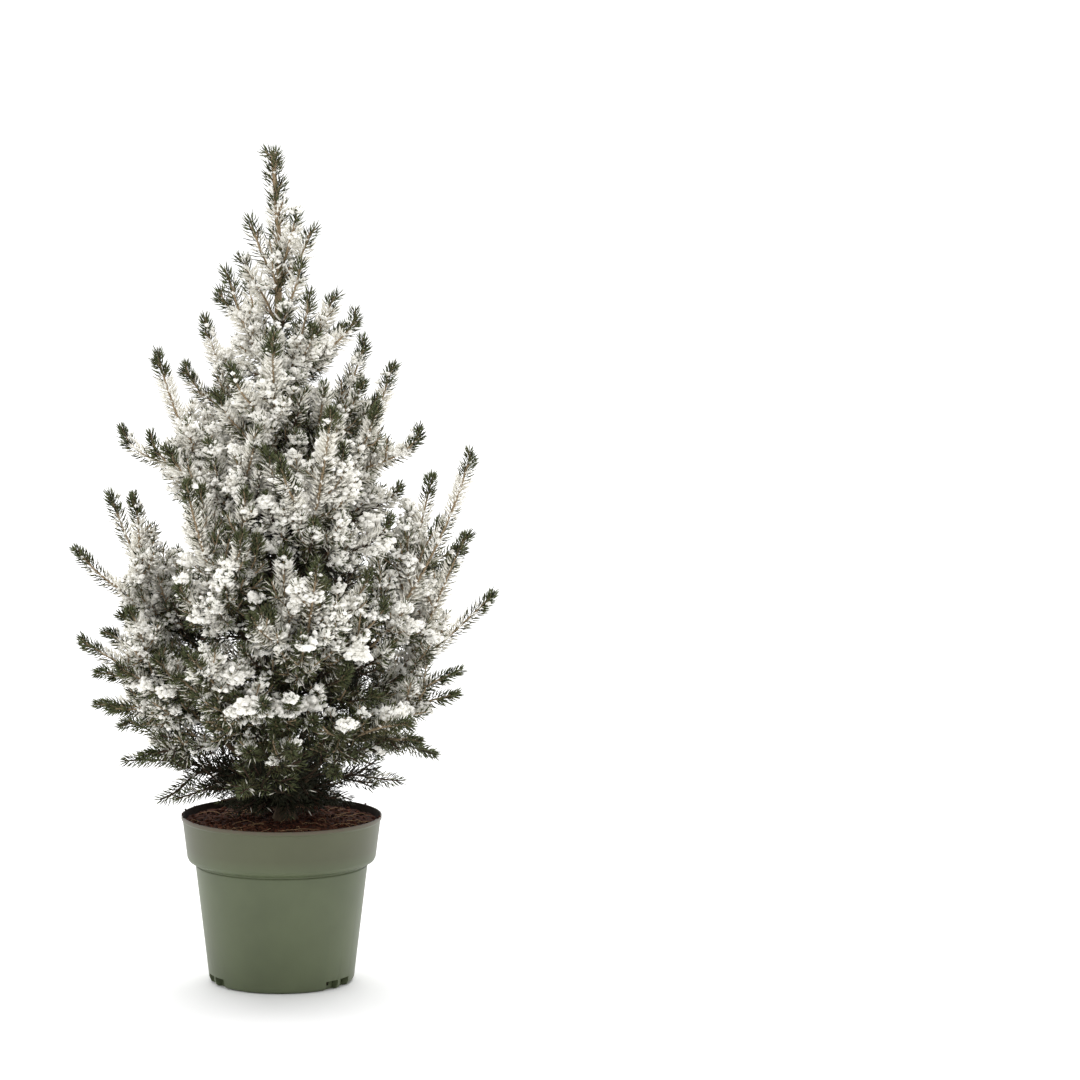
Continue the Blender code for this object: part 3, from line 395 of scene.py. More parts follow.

# Needles and wood in the shaded inner part are painted dark: painted shade.
# Depth of the shaded inner part, and its changes by height as (amount, start, width); a width below 0 runs down
SHADE_DEPTH = 0.64
SHADE_CHANGES = ((0.30, 0.245, -0.06), (-0.36, 0.44, 0.12), (-0.25, 0.58, 0.08))

# Clumps seen on the front: x, height and size
FRONT_CLUMPS = (
    (-0.033, 0.280, 1.25), (0.000, 0.278, 1.30), (0.033, 0.278, 1.25), (-0.075, 0.360, 1.20),
    (-0.050, 0.352, 0.90), (0.062, 0.372, 1.00), (0.024, 0.384, 1.00), (0.070, 0.320, 1.30),
    (0.056, 0.264, 0.95), (-0.066, 0.233, 1.05), (0.104, 0.268, 1.20), (0.028, 0.339, 1.00),
    (0.080, 0.444, 1.10), (0.118, 0.500, 0.90), (-0.010, 0.467, 1.00), (-0.090, 0.410, 1.00),
    (-0.128, 0.345, 0.95), (0.128, 0.352, 0.85), (-0.020, 0.330, 0.90), (-0.050, 0.520, 0.80),
    (0.030, 0.560, 0.75), (0.005, 0.640, 0.70), (-0.020, 0.600, 0.80), (0.002, 0.744, 0.55),
    (0.017, 0.518, 0.90), (-0.105, 0.282, 0.95), (0.100, 0.420, 0.90),
)

# Colours are linear red, green, blue
POT_COLOUR = (0.0865, 0.105, 0.0535)
POT_DUST = (0.056, 0.038, 0.022)
POT_DIRT = (0.085, 0.062, 0.042)
# Dark brown painted shade on the pot's inner wall near and above the soil
POT_INSIDE_SHADE = (0.030, 0.020, 0.013)
POT_CLOUDS = (0.86, 1.10)
COLLAR_DUST = 0.35
COLLAR_DUST_FADE = 0.7
RIM_DIRT = 0.85
RIM_DIRT_DEPTHS = (0.0036, 0.0020)
SOIL_DARK = (0.014, 0.0050, 0.0028)
SOIL_LIGHT = (0.175, 0.054, 0.026)
CHIP_COLOUR = (0.118, 0.048, 0.025)
FIBRE_COLOUR = (0.400, 0.260, 0.140)
BARK_DARK = (0.036, 0.023, 0.014)
BARK_LIGHT = (0.130, 0.090, 0.054)
YOUNG_WOOD = (0.340, 0.255, 0.160)
# Wood in the shaded inner part and below this height is painted dark: painted shade
SHADE_PAINTED_WOOD_HEIGHT = 0.235
SHADE_PAINTED_WOOD = (0.060, 0.038, 0.024)
NEEDLE_COLOURS = {
    # dark: the needles' own darker tone, and painted shade in the shaded inner part
    "dark": (0.018, 0.020, 0.007),
    "olive": (0.080, 0.079, 0.029),
    "fresh": (0.090, 0.106, 0.042),
    "frosted": (0.775, 0.748, 0.655),
    "flocked": (0.940, 0.915, 0.835),
}
SNOW_COLOUR = (0.955, 0.938, 0.885)

# Light of the surroundings at the front right and at the back left, and the way from one to the other
WORLD_LIGHT = (1.01, 1.30)
WORLD_WAY = (-0.45, 0.89, 0.0)
SUN_POWER = 2.4
SUN_SPREAD = 60.0
SUN_PLACE = (0.01, 0.47, 1.0)
WORLD_SPAN = (-1.0, 0.6)
FLOOR_REACH = 6.0
FLOOR_SHADES = (0.85, 0.865)

# Camera at the photo's place: the plant stands left of the middle of the frame
CAMERA_PLACE = (0.0, -4.0, 0.89)
CAMERA_PITCH = 6.67
CAMERA_YAW = 3.49
CAMERA_ROLL = 0.38
CAMERA_LENS = 142.2
CAMERA_SENSOR = 36.0
CAMERA_FAR = 50.0


# Small helpers


def unit(vector):
    return vector / np.linalg.norm(vector)


def units(vectors):
    return vectors / np.linalg.norm(vectors, axis=-1, keepdims=True)


def outwards(azimuth):
    """Level unit vector that points away from the axis at this azimuth."""
    angle = math.radians(azimuth)
    return np.array((math.sin(angle), -math.cos(angle), 0.0))


def aimed(azimuth, rise):
    """Unit vector at this azimuth that climbs by this many degrees."""
    angle = math.radians(rise)
    return outwards(azimuth) * math.cos(angle) + np.array((0.0, 0.0, math.sin(angle)))


def smooth_step(low, high, value):
    share = min(max((value - low) / (high - low), 0.0), 1.0)
    return share * share * (3.0 - 2.0 * share)


def between(limits, share):
    return limits[0] + (limits[1] - limits[0]) * share


def grown(value, start, width, least=0.0):
    """How far each value has come over a width from a start, from a least share to 1."""
    return np.clip((value - start) / width, least, 1.0)


def spot(azimuth, reach, height):
    """The place at this azimuth, distance from the axis and height."""
    return outwards(azimuth) * reach + np.array((0.0, 0.0, height))


def random_way(rng, spread=1.0):
    return np.array([rng.gauss(0.0, spread) for _ in range(3)])


def link_object(name, mesh):
    obj = bpy.data.objects.new(name, mesh)
    bpy.context.scene.collection.objects.link(obj)
    return obj


def array_mesh(name, points, faces):
    """A mesh object from arrays of points and of triangles or quads."""
    mesh = bpy.data.meshes.new(name)
    count, corners = faces.shape
    mesh.vertices.add(len(points))
    mesh.vertices.foreach_set("co", np.ascontiguousarray(points, np.float32).ravel())
    mesh.loops.add(count * corners)
    mesh.loops.foreach_set("vertex_index", np.ascontiguousarray(faces, np.int32).ravel())
    mesh.polygons.add(count)
    mesh.polygons.foreach_set("loop_start", np.arange(0, count * corners, corners, dtype=np.int32))
    mesh.polygons.foreach_set("use_smooth", np.full(count, True))
    mesh.update(calc_edges=True)
    mesh.validate()
    return link_object(name, mesh)


def place(obj, material, slot, nodes=()):
    """Gives a piece its material, puts it under the root and hides the nodes that it stands for; the slot is
    not used.
    """
    obj.data.materials.clear()
    obj.data.materials.append(material)
    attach(obj, "root")
    if nodes:
        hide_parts(*nodes)
    return obj


class Batch:
    """Collects many small shapes and joins them into pieces under the limit of faces."""

    def __init__(self):
        self.points = []
        self.faces = []
        self.count = 0

    def add(self, points, faces):
        self.points.append(points)
        self.faces.append(faces + self.count)
        self.count += len(points)

    def build(self, name, material, slot, nodes=()):
        """One object for each run of shapes that stays under the limit."""
        made = []
        first = 0
        while first < len(self.faces):
            last = first
            total = 0
            while last < len(self.faces) and total + len(self.faces[last]) <= MOST_FACES:
                total += len(self.faces[last])
                last += 1
            shift = int(self.faces[first].min())
            points = np.vstack(self.points[first:last])
            faces = np.vstack(self.faces[first:last]) - shift
            obj = array_mesh(f"{name}_{len(made) + 1}", points, faces)
            made.append(place(obj, material, slot, nodes))
            first = last
        return made


# Materials


def set_range(node, *limits):
    """Sets what a Map Range node reads and gives: from low, from high, to low, to high."""
    for socket, number in zip(("From Min", "From Max", "To Min", "To Max"), limits):
        node.inputs[socket].default_value = number


class Nodes:
    """A new material with its shader, and short calls for the nodes that feed it."""

    def __init__(self, name, roughness, specular=0.35):
        self.material = bpy.data.materials.new(name)
        self.material.use_nodes = True
        self.tree = self.material.node_tree
        self.shader = self.tree.nodes["Principled BSDF"]
        self.shader.inputs["Roughness"].default_value = roughness
        self.shader.inputs["Specular IOR Level"].default_value = specular
        self.place = self.tree.nodes.new("ShaderNodeTexCoord").outputs["Object"]

    def link(self, source, target):
        self.tree.links.new(source, target)

    def noise(self, scale, detail=3.0, stretch=None):
        node = self.tree.nodes.new("ShaderNodeTexNoise")
        node.inputs["Scale"].default_value = scale
        node.inputs["Detail"].default_value = detail
        place = self.place
        if stretch:
            mapping = self.tree.nodes.new("ShaderNodeMapping")
            mapping.inputs["Scale"].default_value = stretch
            self.link(self.place, mapping.inputs["Vector"])
            place = mapping.outputs["Vector"]
        self.link(place, node.inputs["Vector"])
        return node.outputs["Fac"]

    def ramp(self, factor, stops):
        node = self.tree.nodes.new("ShaderNodeValToRGB")
        elements = node.color_ramp.elements
        while len(elements) < len(stops):
            elements.new(0.5)
        for element, (position, colour) in zip(elements, stops):
            element.position = position
            element.color = (*colour, 1.0)
        self.link(factor, node.inputs["Fac"])
        return node.outputs["Color"]

    def value(self, factor, *limits):
        node = self.tree.nodes.new("ShaderNodeMapRange")
        set_range(node, *limits)
        self.link(factor, node.inputs["Value"])
        return node.outputs["Result"]

    def mix(self, factor, first, second):
        node = self.tree.nodes.new("ShaderNodeMix")
        node.data_type = "RGBA"
        sockets = {socket.identifier: socket for socket in node.inputs}
        for source, key in ((factor, "Factor_Float"), (first, "A_Color"), (second, "B_Color")):
            if isinstance(source, bpy.types.NodeSocket):
                self.link(source, sockets[key])
            else:
                sockets[key].default_value = source if key == "Factor_Float" else (*source, 1.0)
        return next(socket for socket in node.outputs if socket.identifier == "Result_Color")

    def height(self):
        node = self.tree.nodes.new("ShaderNodeSeparateXYZ")
        self.link(self.place, node.inputs["Vector"])
        return node.outputs["Z"]

    def colour(self, source):
        if isinstance(source, bpy.types.NodeSocket):
            self.link(source, self.shader.inputs["Base Color"])
        else:
            self.shader.inputs["Base Color"].default_value = (*source, 1.0)

    def bump(self, source, strength, distance):
        node = self.tree.nodes.new("ShaderNodeBump")
        node.inputs["Strength"].default_value = strength
        node.inputs["Distance"].default_value = distance
        self.link(source, node.inputs["Height"])
        self.link(node.outputs["Normal"], self.shader.inputs["Normal"])


def pot_material():
    nodes = Nodes("moulded_sage_plastic", roughness=0.46, specular=0.42)
    darker, lighter = ([share * channel for channel in POT_COLOUR] for share in POT_CLOUDS)
    base = nodes.ramp(nodes.noise(scale=14.0, detail=4.0), ((0.30, darker), (0.70, lighter)))
    height = nodes.height()
    dust_top = POT_HEIGHT - COLLAR_DUST_FADE * COLLAR_HEIGHT
    dusty = nodes.value(height, POT_HEIGHT - COLLAR_HEIGHT, dust_top, 0.0, COLLAR_DUST)
    base = nodes.mix(dusty, base, POT_DUST)
    rim_low, rim_high = (POT_HEIGHT - depth for depth in RIM_DIRT_DEPTHS)
    dirt = nodes.tree.nodes.new("ShaderNodeMath")
    dirt.operation = "MULTIPLY"
    nodes.link(nodes.value(height, rim_low, rim_high, 0.0, RIM_DIRT), dirt.inputs[0])
    nodes.link(nodes.value(nodes.noise(scale=260.0, detail=2.0), 0.30, 0.55, 0.35, 1.0), dirt.inputs[1])
    nodes.colour(nodes.mix(dirt.outputs["Value"], base, POT_DIRT))
    nodes.bump(nodes.noise(scale=900.0, detail=3.0), strength=0.10, distance=0.0004)
    return nodes.material


def soil_material():
    nodes = Nodes("moist_peat", roughness=0.92, specular=0.20)
    middle = [0.5 * (dark + light) * 0.62 for dark, light in zip(SOIL_DARK, SOIL_LIGHT)]
    stops = ((0.34, SOIL_DARK), (0.52, middle), (0.74, SOIL_LIGHT))
    nodes.colour(nodes.ramp(nodes.noise(scale=240.0, detail=5.0), stops))
    nodes.bump(nodes.noise(scale=700.0, detail=4.0), strength=0.55, distance=0.0012)
    return nodes.material


def bark_material():
    nodes = Nodes("thin_bark", roughness=0.84, specular=0.22)
    streaks = nodes.noise(scale=130.0, detail=4.0, stretch=(1.0, 1.0, 0.28))
    nodes.colour(nodes.ramp(streaks, ((0.30, BARK_DARK), (0.68, BARK_LIGHT))))
    cracks = nodes.noise(scale=520.0, detail=4.0, stretch=(1.0, 1.0, 0.40))
    nodes.bump(cracks, strength=0.60, distance=0.0009)
    return nodes.material


def plain_material(name, colour, roughness, specular=0.25, grain=0.0):
    """A material of one base colour, with a fine grain in the surface where that is asked for."""
    nodes = Nodes(name, roughness, specular)
    nodes.colour(colour)
    if grain:
        nodes.bump(nodes.noise(scale=1400.0, detail=2.0), grain, distance=0.0005)
    return nodes.material


def snow_material():
    nodes = Nodes("dry_snow", roughness=0.88, specular=0.20)
    nodes.colour(SNOW_COLOUR)
    nodes.bump(nodes.noise(scale=900.0, detail=3.0), strength=0.50, distance=0.0009)
    return nodes.material


# Pot


def lathe(name, profile, segments):
    """A closed solid turned about Z from (radius, height) points that start and end on the axis."""
    bm = bmesh.new()
    verts = [bm.verts.new((radius, 0.0, height)) for radius, height in profile]
    edges = [bm.edges.new(pair) for pair in zip(verts, verts[1:])]
    bmesh.ops.spin(
        bm,
        geom=verts + edges,
        cent=(0.0, 0.0, 0.0),
        axis=(0.0, 0.0, 1.0),
        angle=2.0 * math.pi,
        steps=segments,
        use_merge=True,
    )
    bmesh.ops.remove_doubles(bm, verts=bm.verts, dist=1e-6)
    return from_bmesh(name, bm)


def from_bmesh(name, bm):
    bmesh.ops.recalc_face_normals(bm, faces=bm.faces)
    mesh = bpy.data.meshes.new(name)
    bm.to_mesh(mesh)
    bm.free()
    return link_object(name, mesh)


def sector(inner, outer, low, high, middle, half_angle, steps=12):
    """A block between two radii and two heights, over a range of azimuths."""
    bm = bmesh.new()
    angles = [middle + half_angle * (2.0 * step / steps - 1.0) for step in range(steps + 1)]
    loop = [outwards(angle) * outer for angle in angles]
    loop += [outwards(angle) * inner for angle in reversed(angles)]
    floor = bm.faces.new([bm.verts.new((x, y, low)) for x, y, _ in loop])
    top = bmesh.ops.extrude_face_region(bm, geom=[floor])
    risen = [item for item in top["geom"] if isinstance(item, bmesh.types.BMVert)]
    bmesh.ops.translate(bm, verts=risen, vec=(0.0, 0.0, high - low))
    return from_bmesh("sector", bm)


def boolean(target, helpers, operation):
    """Applies one exact Boolean between the target and the helpers, which are removed."""
    gathered = bpy.data.collections.new("helpers")
    bpy.context.scene.collection.children.link(gathered)
    for helper in helpers:
        gathered.objects.link(helper)
    modifier = target.modifiers.new(operation.title(), "BOOLEAN")
    modifier.operation = operation
    modifier.operand_type = "COLLECTION"
    modifier.collection = gathered
    modifier.solver = "EXACT"
    bpy.context.view_layer.update()
    graph = bpy.context.evaluated_depsgraph_get()
    result = bpy.data.meshes.new_from_object(target.evaluated_get(graph))
    target.modifiers.remove(modifier)
    bpy.data.collections.remove(gathered)
    for helper in helpers:
        bpy.data.objects.remove(helper, do_unlink=True)
    target.data = result


def wall_radius(height):
    """Outer radius of the tapering wall below the collar."""
    share = height / (POT_HEIGHT - COLLAR_HEIGHT - COLLAR_STEP_HEIGHT)
    return FOOT_RADIUS + (WALL_TOP_RADIUS - FOOT_RADIUS) * share


def rounded(profile, radius, steps=3):
    """The profile with each inner corner replaced by a short curve."""
    made = [profile[0]]
    for before, corner, after in zip(profile, profile[1:], profile[2:]):
        before, corner, after = (np.array(point) for point in (before, corner, after))
        reach_in = min(radius, 0.45 * np.linalg.norm(corner - before))
        reach_out = min(radius, 0.45 * np.linalg.norm(after - corner))
        start = corner + unit(before - corner) * reach_in
        end = corner + unit(after - corner) * reach_out
        for step in range(steps + 1):
            t = step / steps
            made.append(tuple((1 - t) ** 2 * start + 2 * t * (1 - t) * corner + t * t * end))
    return made + [profile[-1]]


def make_pot():
    collar_foot = POT_HEIGHT - COLLAR_HEIGHT
    step_foot = collar_foot - COLLAR_STEP_HEIGHT
    slope = (RIM_RADIUS - RIM_LIP - COLLAR_FOOT_RADIUS) / (POT_HEIGHT - RIM_LIP_HEIGHT - collar_foot)
    outside = [
        (0.0, 0.0),
        (FOOT_RADIUS - CORNER_RADIUS * 0.4, 0.0),
        (wall_radius(CORNER_RADIUS), CORNER_RADIUS),
        (WALL_TOP_RADIUS, step_foot - GROOVE),
        (WALL_TOP_RADIUS - GROOVE, step_foot - 0.2 * GROOVE),
        (WALL_TOP_RADIUS - 0.6 * GROOVE, step_foot + GROOVE),
        (COLLAR_FOOT_RADIUS - 0.0012, collar_foot - 0.0012),
        (COLLAR_FOOT_RADIUS + slope * 0.002, collar_foot + 0.002),
        (RIM_RADIUS - RIM_LIP, POT_HEIGHT - RIM_LIP_HEIGHT - RIM_LIP),
        (RIM_RADIUS, POT_HEIGHT - RIM_LIP_HEIGHT),
        (RIM_RADIUS, POT_HEIGHT),
        (RIM_RADIUS - WALL, POT_HEIGHT),
        (COLLAR_FOOT_RADIUS - WALL, collar_foot + WALL),
        (WALL_TOP_RADIUS - WALL, step_foot + WALL),
        (wall_radius(FLOOR) - WALL, FLOOR),
        (0.0, FLOOR),
    ]
    corner = rounded(outside[:3], CORNER_RADIUS, 5)[:-1]
    smooth = corner + rounded(outside[2:-1], EDGE_ROUNDING) + [outside[-1]]
    pot = lathe("pot_shell", smooth, POT_SEGMENTS)
    inner = FOOT_RADIUS - RECESS_DEPTH
    cutters = []
    housings = []
    bay_half = (RECESS_HALF_ANGLE - RIB_HALF_ANGLE) / 2.0
    wall_angle = math.degrees(WALL / FOOT_RADIUS)
    for middle in RECESS_AZIMUTHS:
        reach = FOOT_RADIUS - 0.5 * WALL
        half = RECESS_HALF_ANGLE + wall_angle
        housings.append(sector(inner - WALL, reach, 0.5 * FLOOR, RECESS_HEIGHT + WALL, middle, half))
        for side in (-1.0, 1.0):
            bay = middle + side * (RIB_HALF_ANGLE + bay_half)
            cutters.append(sector(inner, RIM_RADIUS, -RECESS_DEPTH, RECESS_HEIGHT, bay, bay_half))
            slot = middle + side * SLOT_OFFSET_ANGLE
            depths = (inner - 2 * WALL, inner + WALL)
            cutters.append(sector(*depths, SLOT_LOW, SLOT_HIGH, slot, SLOT_HALF_ANGLE, 1))
    boolean(pot, housings, "UNION")
    boolean(pot, cutters, "DIFFERENCE")
    pot.data.shade_smooth()
    pot.data.set_sharp_from_angle(angle=math.radians(32.0))
    place(pot, pot_material(), "pot", ["pot"])
    # Inward faces from just below the soil up to the rim take a dark brown: painted shade inside the rim
    pot.data.materials.append(plain_material("shade_painted_inner_wall", POT_INSIDE_SHADE, 0.8, 0.2, 0.5))
    for face in pot.data.polygons:
        inwards = face.normal.x * face.center.x + face.normal.y * face.center.y < 0.0
        if inwards and face.center.z > SOIL_EDGE - 0.02:
            face.material_index = 1


# Soil


def soil_edge_radius():
    slope = (RIM_RADIUS - COLLAR_FOOT_RADIUS) / COLLAR_HEIGHT
    return COLLAR_FOOT_RADIUS - WALL + slope * (SOIL_EDGE - POT_HEIGHT + COLLAR_HEIGHT - WALL) - 2 * GAP


def soil_height(x, y):
    """Height of the lumpy soil at a place."""
    share = math.hypot(x, y) / soil_edge_radius()
    wide, narrow, weight = SOIL_GRAIN
    coarse = noise.noise(Vector((x * wide, y * wide, 3.1)))
    fine = noise.noise(Vector((x * narrow, y * narrow, 7.7)))
    return SOIL_TOP + (SOIL_EDGE - SOIL_TOP) * share + SOIL_ROUGHNESS * (coarse + weight * fine)


def scattered(edge, share, rng):
    """A random place on the soil."""
    radius = edge * math.sqrt(rng.random()) * share
    x, y, _ = outwards(rng.uniform(0.0, 360.0)) * radius
    return x, y


def make_soil():
    edge = soil_edge_radius()
    foot = POT_HEIGHT - COLLAR_HEIGHT - COLLAR_STEP_HEIGHT
    points = [(0.0, 0.0, soil_height(0.0, 0.0))]
    rings = [(edge * ring / SOIL_RINGS, None) for ring in range(1, SOIL_RINGS + 1)]
    rings.append((WALL_TOP_RADIUS - WALL - GAP, foot + WALL))
    rings.append((FOOT_RADIUS - RECESS_DEPTH - WALL, FLOOR + GAP))
    for radius, height in rings:
        for segment in range(SOIL_SEGMENTS):
            x, y, _ = outwards(360.0 * segment / SOIL_SEGMENTS) * radius
            points.append((x, y, soil_height(x, y) if height is None else height))
    faces = []
    for segment in range(SOIL_SEGMENTS):
        after = (segment + 1) % SOIL_SEGMENTS
        faces.append((0, 1 + segment, 1 + after))
        for ring in range(SOIL_RINGS + 1):
            low = 1 + ring * SOIL_SEGMENTS
            high = low + SOIL_SEGMENTS
            faces.append((low + segment, high + segment, high + after))
            faces.append((low + segment, high + after, low + after))
    last = 1 + (SOIL_RINGS + 1) * SOIL_SEGMENTS
    points.append((0.0, 0.0, FLOOR + GAP))
    faces += [(last + (s + 1) % SOIL_SEGMENTS, last + s, len(points) - 1) for s in range(SOIL_SEGMENTS)]
    bed = array_mesh("soil_bed", np.array(points), np.array(faces))
    material = soil_material()
    place(bed, material, "soil", ["soil"])
    scatter_crumbs(edge, material)
    scatter_chips(edge)
    scatter_fibres(edge)


def scatter_crumbs(edge, material):
    """Crumbs all over the soil, and small ones on the rim."""
    rng = random.Random(SEED + 1)
    batch = Batch()
    for index in range(CRUMBS + RIM_CRUMBS):
        size = between(CRUMB_SIZES, rng.random() ** 2)
        x, y = scattered(edge, SCATTER_SHARES[0], rng)
        height = soil_height(x, y) + 0.25 * size
        if index >= CRUMBS:
            size *= RIM_CRUMB_SHARE
            x, y, _ = outwards(rng.uniform(*RIM_CRUMB_AZIMUTHS)) * (RIM_RADIUS - 0.5 * WALL)
            height = POT_HEIGHT + 0.5 * size
        add_lump(batch, size, rng, CRUMB_ROUGHNESS, CRUMB_FLATNESS, (x, y, height))
    batch.build("soil_crumbs", material, "soil")


def scatter_chips(edge):
    """Flat splinters of bark that lie at all angles on the soil."""
    rng = random.Random(SEED + 2)
    batch = Batch()
    block = np.array([(x, y, z) for x in (-0.5, 0.5) for y in (-0.5, 0.5) for z in (-0.5, 0.5)])
    sides = np.array([(0, 1, 3), (0, 3, 2), (4, 6, 7), (4, 7, 5), (0, 4, 5), (0, 5, 1)])
    sides = np.vstack((sides, [(2, 3, 7), (2, 7, 6), (0, 2, 6), (0, 6, 4), (1, 5, 7), (1, 7, 3)]))
    for _ in range(CHIPS):
        length = rng.uniform(*CHIP_SIZES)
        size = np.array((length, length * rng.uniform(0.18, 0.45), length * rng.uniform(0.08, 0.2)))
        points = block * size * np.array([[rng.uniform(0.6, 1.1) for _ in range(3)] for _ in block])
        x, y = scattered(edge, SCATTER_SHARES[1], rng)
        points = turned(points, rng.uniform(0.0, 360.0), rng.uniform(-28.0, 28.0))
        batch.add(points + (x, y, soil_height(x, y) + 0.15 * length), sides)
    for chips in batch.build("soil_chips", plain_material("bark_chips", CHIP_COLOUR, 0.85, 0.2, 0.5), "soil"):
        chips.data.shade_flat()


def turned(points, azimuth, tilt):
    """The points tilted about Y and then turned about Z, in degrees."""
    tilt = math.radians(tilt)
    azimuth = math.radians(azimuth)
    x = points[:, 0] * math.cos(tilt) + points[:, 2] * math.sin(tilt)
    z = points[:, 2] * math.cos(tilt) - points[:, 0] * math.sin(tilt)
    along = x * math.cos(azimuth) - points[:, 1] * math.sin(azimuth)
    across = x * math.sin(azimuth) + points[:, 1] * math.cos(azimuth)
    return np.column_stack((along, across, z))


def scatter_fibres(edge):
    """Pale coir fibres that arch over the soil, one long one at the front."""
    rng = random.Random(SEED + 3)
    batch = Batch()
    for index in range(FIBRES):
        length = rng.uniform(*FIBRE_LENGTHS) if index else LONG_FIBRE[3]
        azimuth = rng.uniform(0.0, 360.0)
        radius = (edge - FIBRE_INSET) * math.sqrt(rng.random())
        x, y, _ = outwards(azimuth) * radius
        bend = LONG_FIBRE[4]
        if index:
            bend = rng.uniform(-FIBRE_BEND, FIBRE_BEND)
        else:
            x, y, azimuth = LONG_FIBRE[:3]
        line = []
        for step in range(FIBRE_STEPS + 1):
            share = step / FIBRE_STEPS
            arch = FIBRE_ARCH * math.sin(math.pi * step / FIBRE_STEPS)
            line.append((x, y, soil_height(x, y) + FIBRE_CLEAR + arch))
            dx, dy, _ = outwards(azimuth + bend * share) * length / FIBRE_STEPS
            if math.hypot(x + dx, y + dy) < edge - FIBRE_MARGIN:
                x, y = x + dx, y + dy
        batch.add(*tube(Path(np.array(line)), FIBRE_RADIUS, 0.5 * FIBRE_RADIUS, FIBRE_SIDES, len(line)))
    batch.build("soil_fibres", plain_material("coir", FIBRE_COLOUR, 0.8, 0.2, 0.2), "soil")


# Centre lines


class Path:
    """A smooth centre line that is read by the length along it."""

    def __init__(self, points):
        self.points = points
        steps = np.linalg.norm(np.diff(points, axis=0), axis=1)
        self.lengths = np.concatenate(([0.0], np.cumsum(steps)))
        self.length = float(self.lengths[-1])

    def at(self, along):
        """The place at one length, or the places at several."""
        columns = [np.interp(along, self.lengths, self.points[:, axis]) for axis in range(3)]
        return np.stack(columns, axis=-1)

    def heading(self, along):
        reach = 0.02 * self.length
        low = self.at(np.maximum(along - reach, 0.0))
        high = self.at(np.minimum(along + reach, self.length))
        return units(high - low)

    def samples(self, start=0.0, step=SAMPLE_STEP):
        count = max(2, int((self.length - start) / step))
        return self.at(np.linspace(start, self.length, count))


def swept(start, start_heading, end, end_heading, fine=FINE):
    """A path that leaves along one heading and arrives along another."""
    handle = HANDLE * np.linalg.norm(end - start)
    first = start + start_heading * handle
    second = end - end_heading * handle
    t = np.linspace(0.0, 1.0, fine)[:, None]
    curve = (1 - t) ** 3 * start + 3 * (1 - t) ** 2 * t * first
    return Path(curve + 3 * (1 - t) * t**2 * second + t**3 * end)


def trunk_axis(height):
    """Centre of the trunk, and of the leader above it, at this height."""
    climb = smooth_step(SOIL_TOP, TRUNK_CLIMB, height)
    lean = max(0.0, (height - TRUNK_TOP) / (PLANT_TOP - TRUNK_TOP)) ** TRUNK_LEAN
    x = TRUNK_FOOT_X + (TRUNK_TOP_X - TRUNK_FOOT_X) * climb + (PLANT_TOP_X - TRUNK_TOP_X) * lean
    y = TRUNK_SWAY * math.sin(2.0 * math.pi * (height - SOIL_TOP) / TRUNK_WAVE) * (1.0 - lean)
    return np.array((x, y, height))


def trunk_radius(height):
    share = (height - SOIL_TOP) / (TRUNK_TOP - SOIL_TOP)
    flare = FLARE * math.exp(-(height - SOIL_TOP) / FLARE_HEIGHT)
    return TRUNK_FOOT_RADIUS + (TRUNK_TOP_RADIUS - TRUNK_FOOT_RADIUS) * share + flare


def tip_rise(height):
    """Degrees by which a shoot climbs at its tip: level low down, steep from half-way up."""
    return TIP_RISES[0] + TIP_RISES[1] * smooth_step(*TIP_RISE_HEIGHTS, height)


def chord_rise(height):
    """Degrees by which a whole limb climbs from the trunk to its tip."""
    share = min(max((height - CHORD_HEIGHTS[0]) / CHORD_HEIGHTS[1], 0.0), 1.0)
    return CHORD_RISES[0] + CHORD_RISES[1] * share ** CHORD_RISES[2]


def limb_path(azimuth, reach, height, foot):
    """From the trunk's skin at the foot's height to a tip."""
    start = trunk_axis(foot) + outwards(azimuth) * (trunk_radius(foot) + 2 * GAP)
    tip = spot(azimuth, reach, height)
    level = np.linalg.norm((tip - start)[:2])
    chord = math.degrees(math.atan2(tip[2] - start[2], level))
    rise = tip_rise(height)
    leave = min(max(2.0 * chord - rise, LEAVING_RISES[0]), LEAVING_RISES[1])
    heading = math.degrees(math.atan2(tip[0] - start[0], start[1] - tip[1]))
    return swept(start, aimed(heading, leave), tip, aimed(heading, rise))


def natural_foot(reach, height):
    """Height at which a limb with this tip leaves the trunk."""
    return max(LOWEST_FOOT, height - reach * math.tan(math.radians(chord_rise(height))))


def body_radius(height):
    heights, radii = zip(*BODY_PROFILE)
    return float(np.interp(height, heights, radii))


# Limbs, laid out as in the part's source


@dataclasses.dataclass
class Shoot:
    """A stem that bears needles from a length along it onwards."""

    path: Path
    order: int
    bare: float
    root_radius: float = SHOOT_RADIUS
    tip_radius: float = SHOOT_TIP_RADIUS

    def is_leader(self):
        return self.tip_radius == LEADER_TIP_RADIUS


class Space:
    """Sample points of what has been laid out, for seating limbs clear of each other."""

    def __init__(self):
        self.samples = np.empty((0, 3))
        self.radii = np.empty(0)

    def add(self, points, radius):
        self.samples = np.vstack((self.samples, points))
        self.radii = np.append(self.radii, np.full(len(points), radius))

    def nearest(self, points):
        """Least distance from any of the points to the surface of a limb."""
        if not len(self.samples):
            return math.inf
        return float((np.linalg.norm(points[:, None] - self.samples[None], axis=2) - self.radii).min())


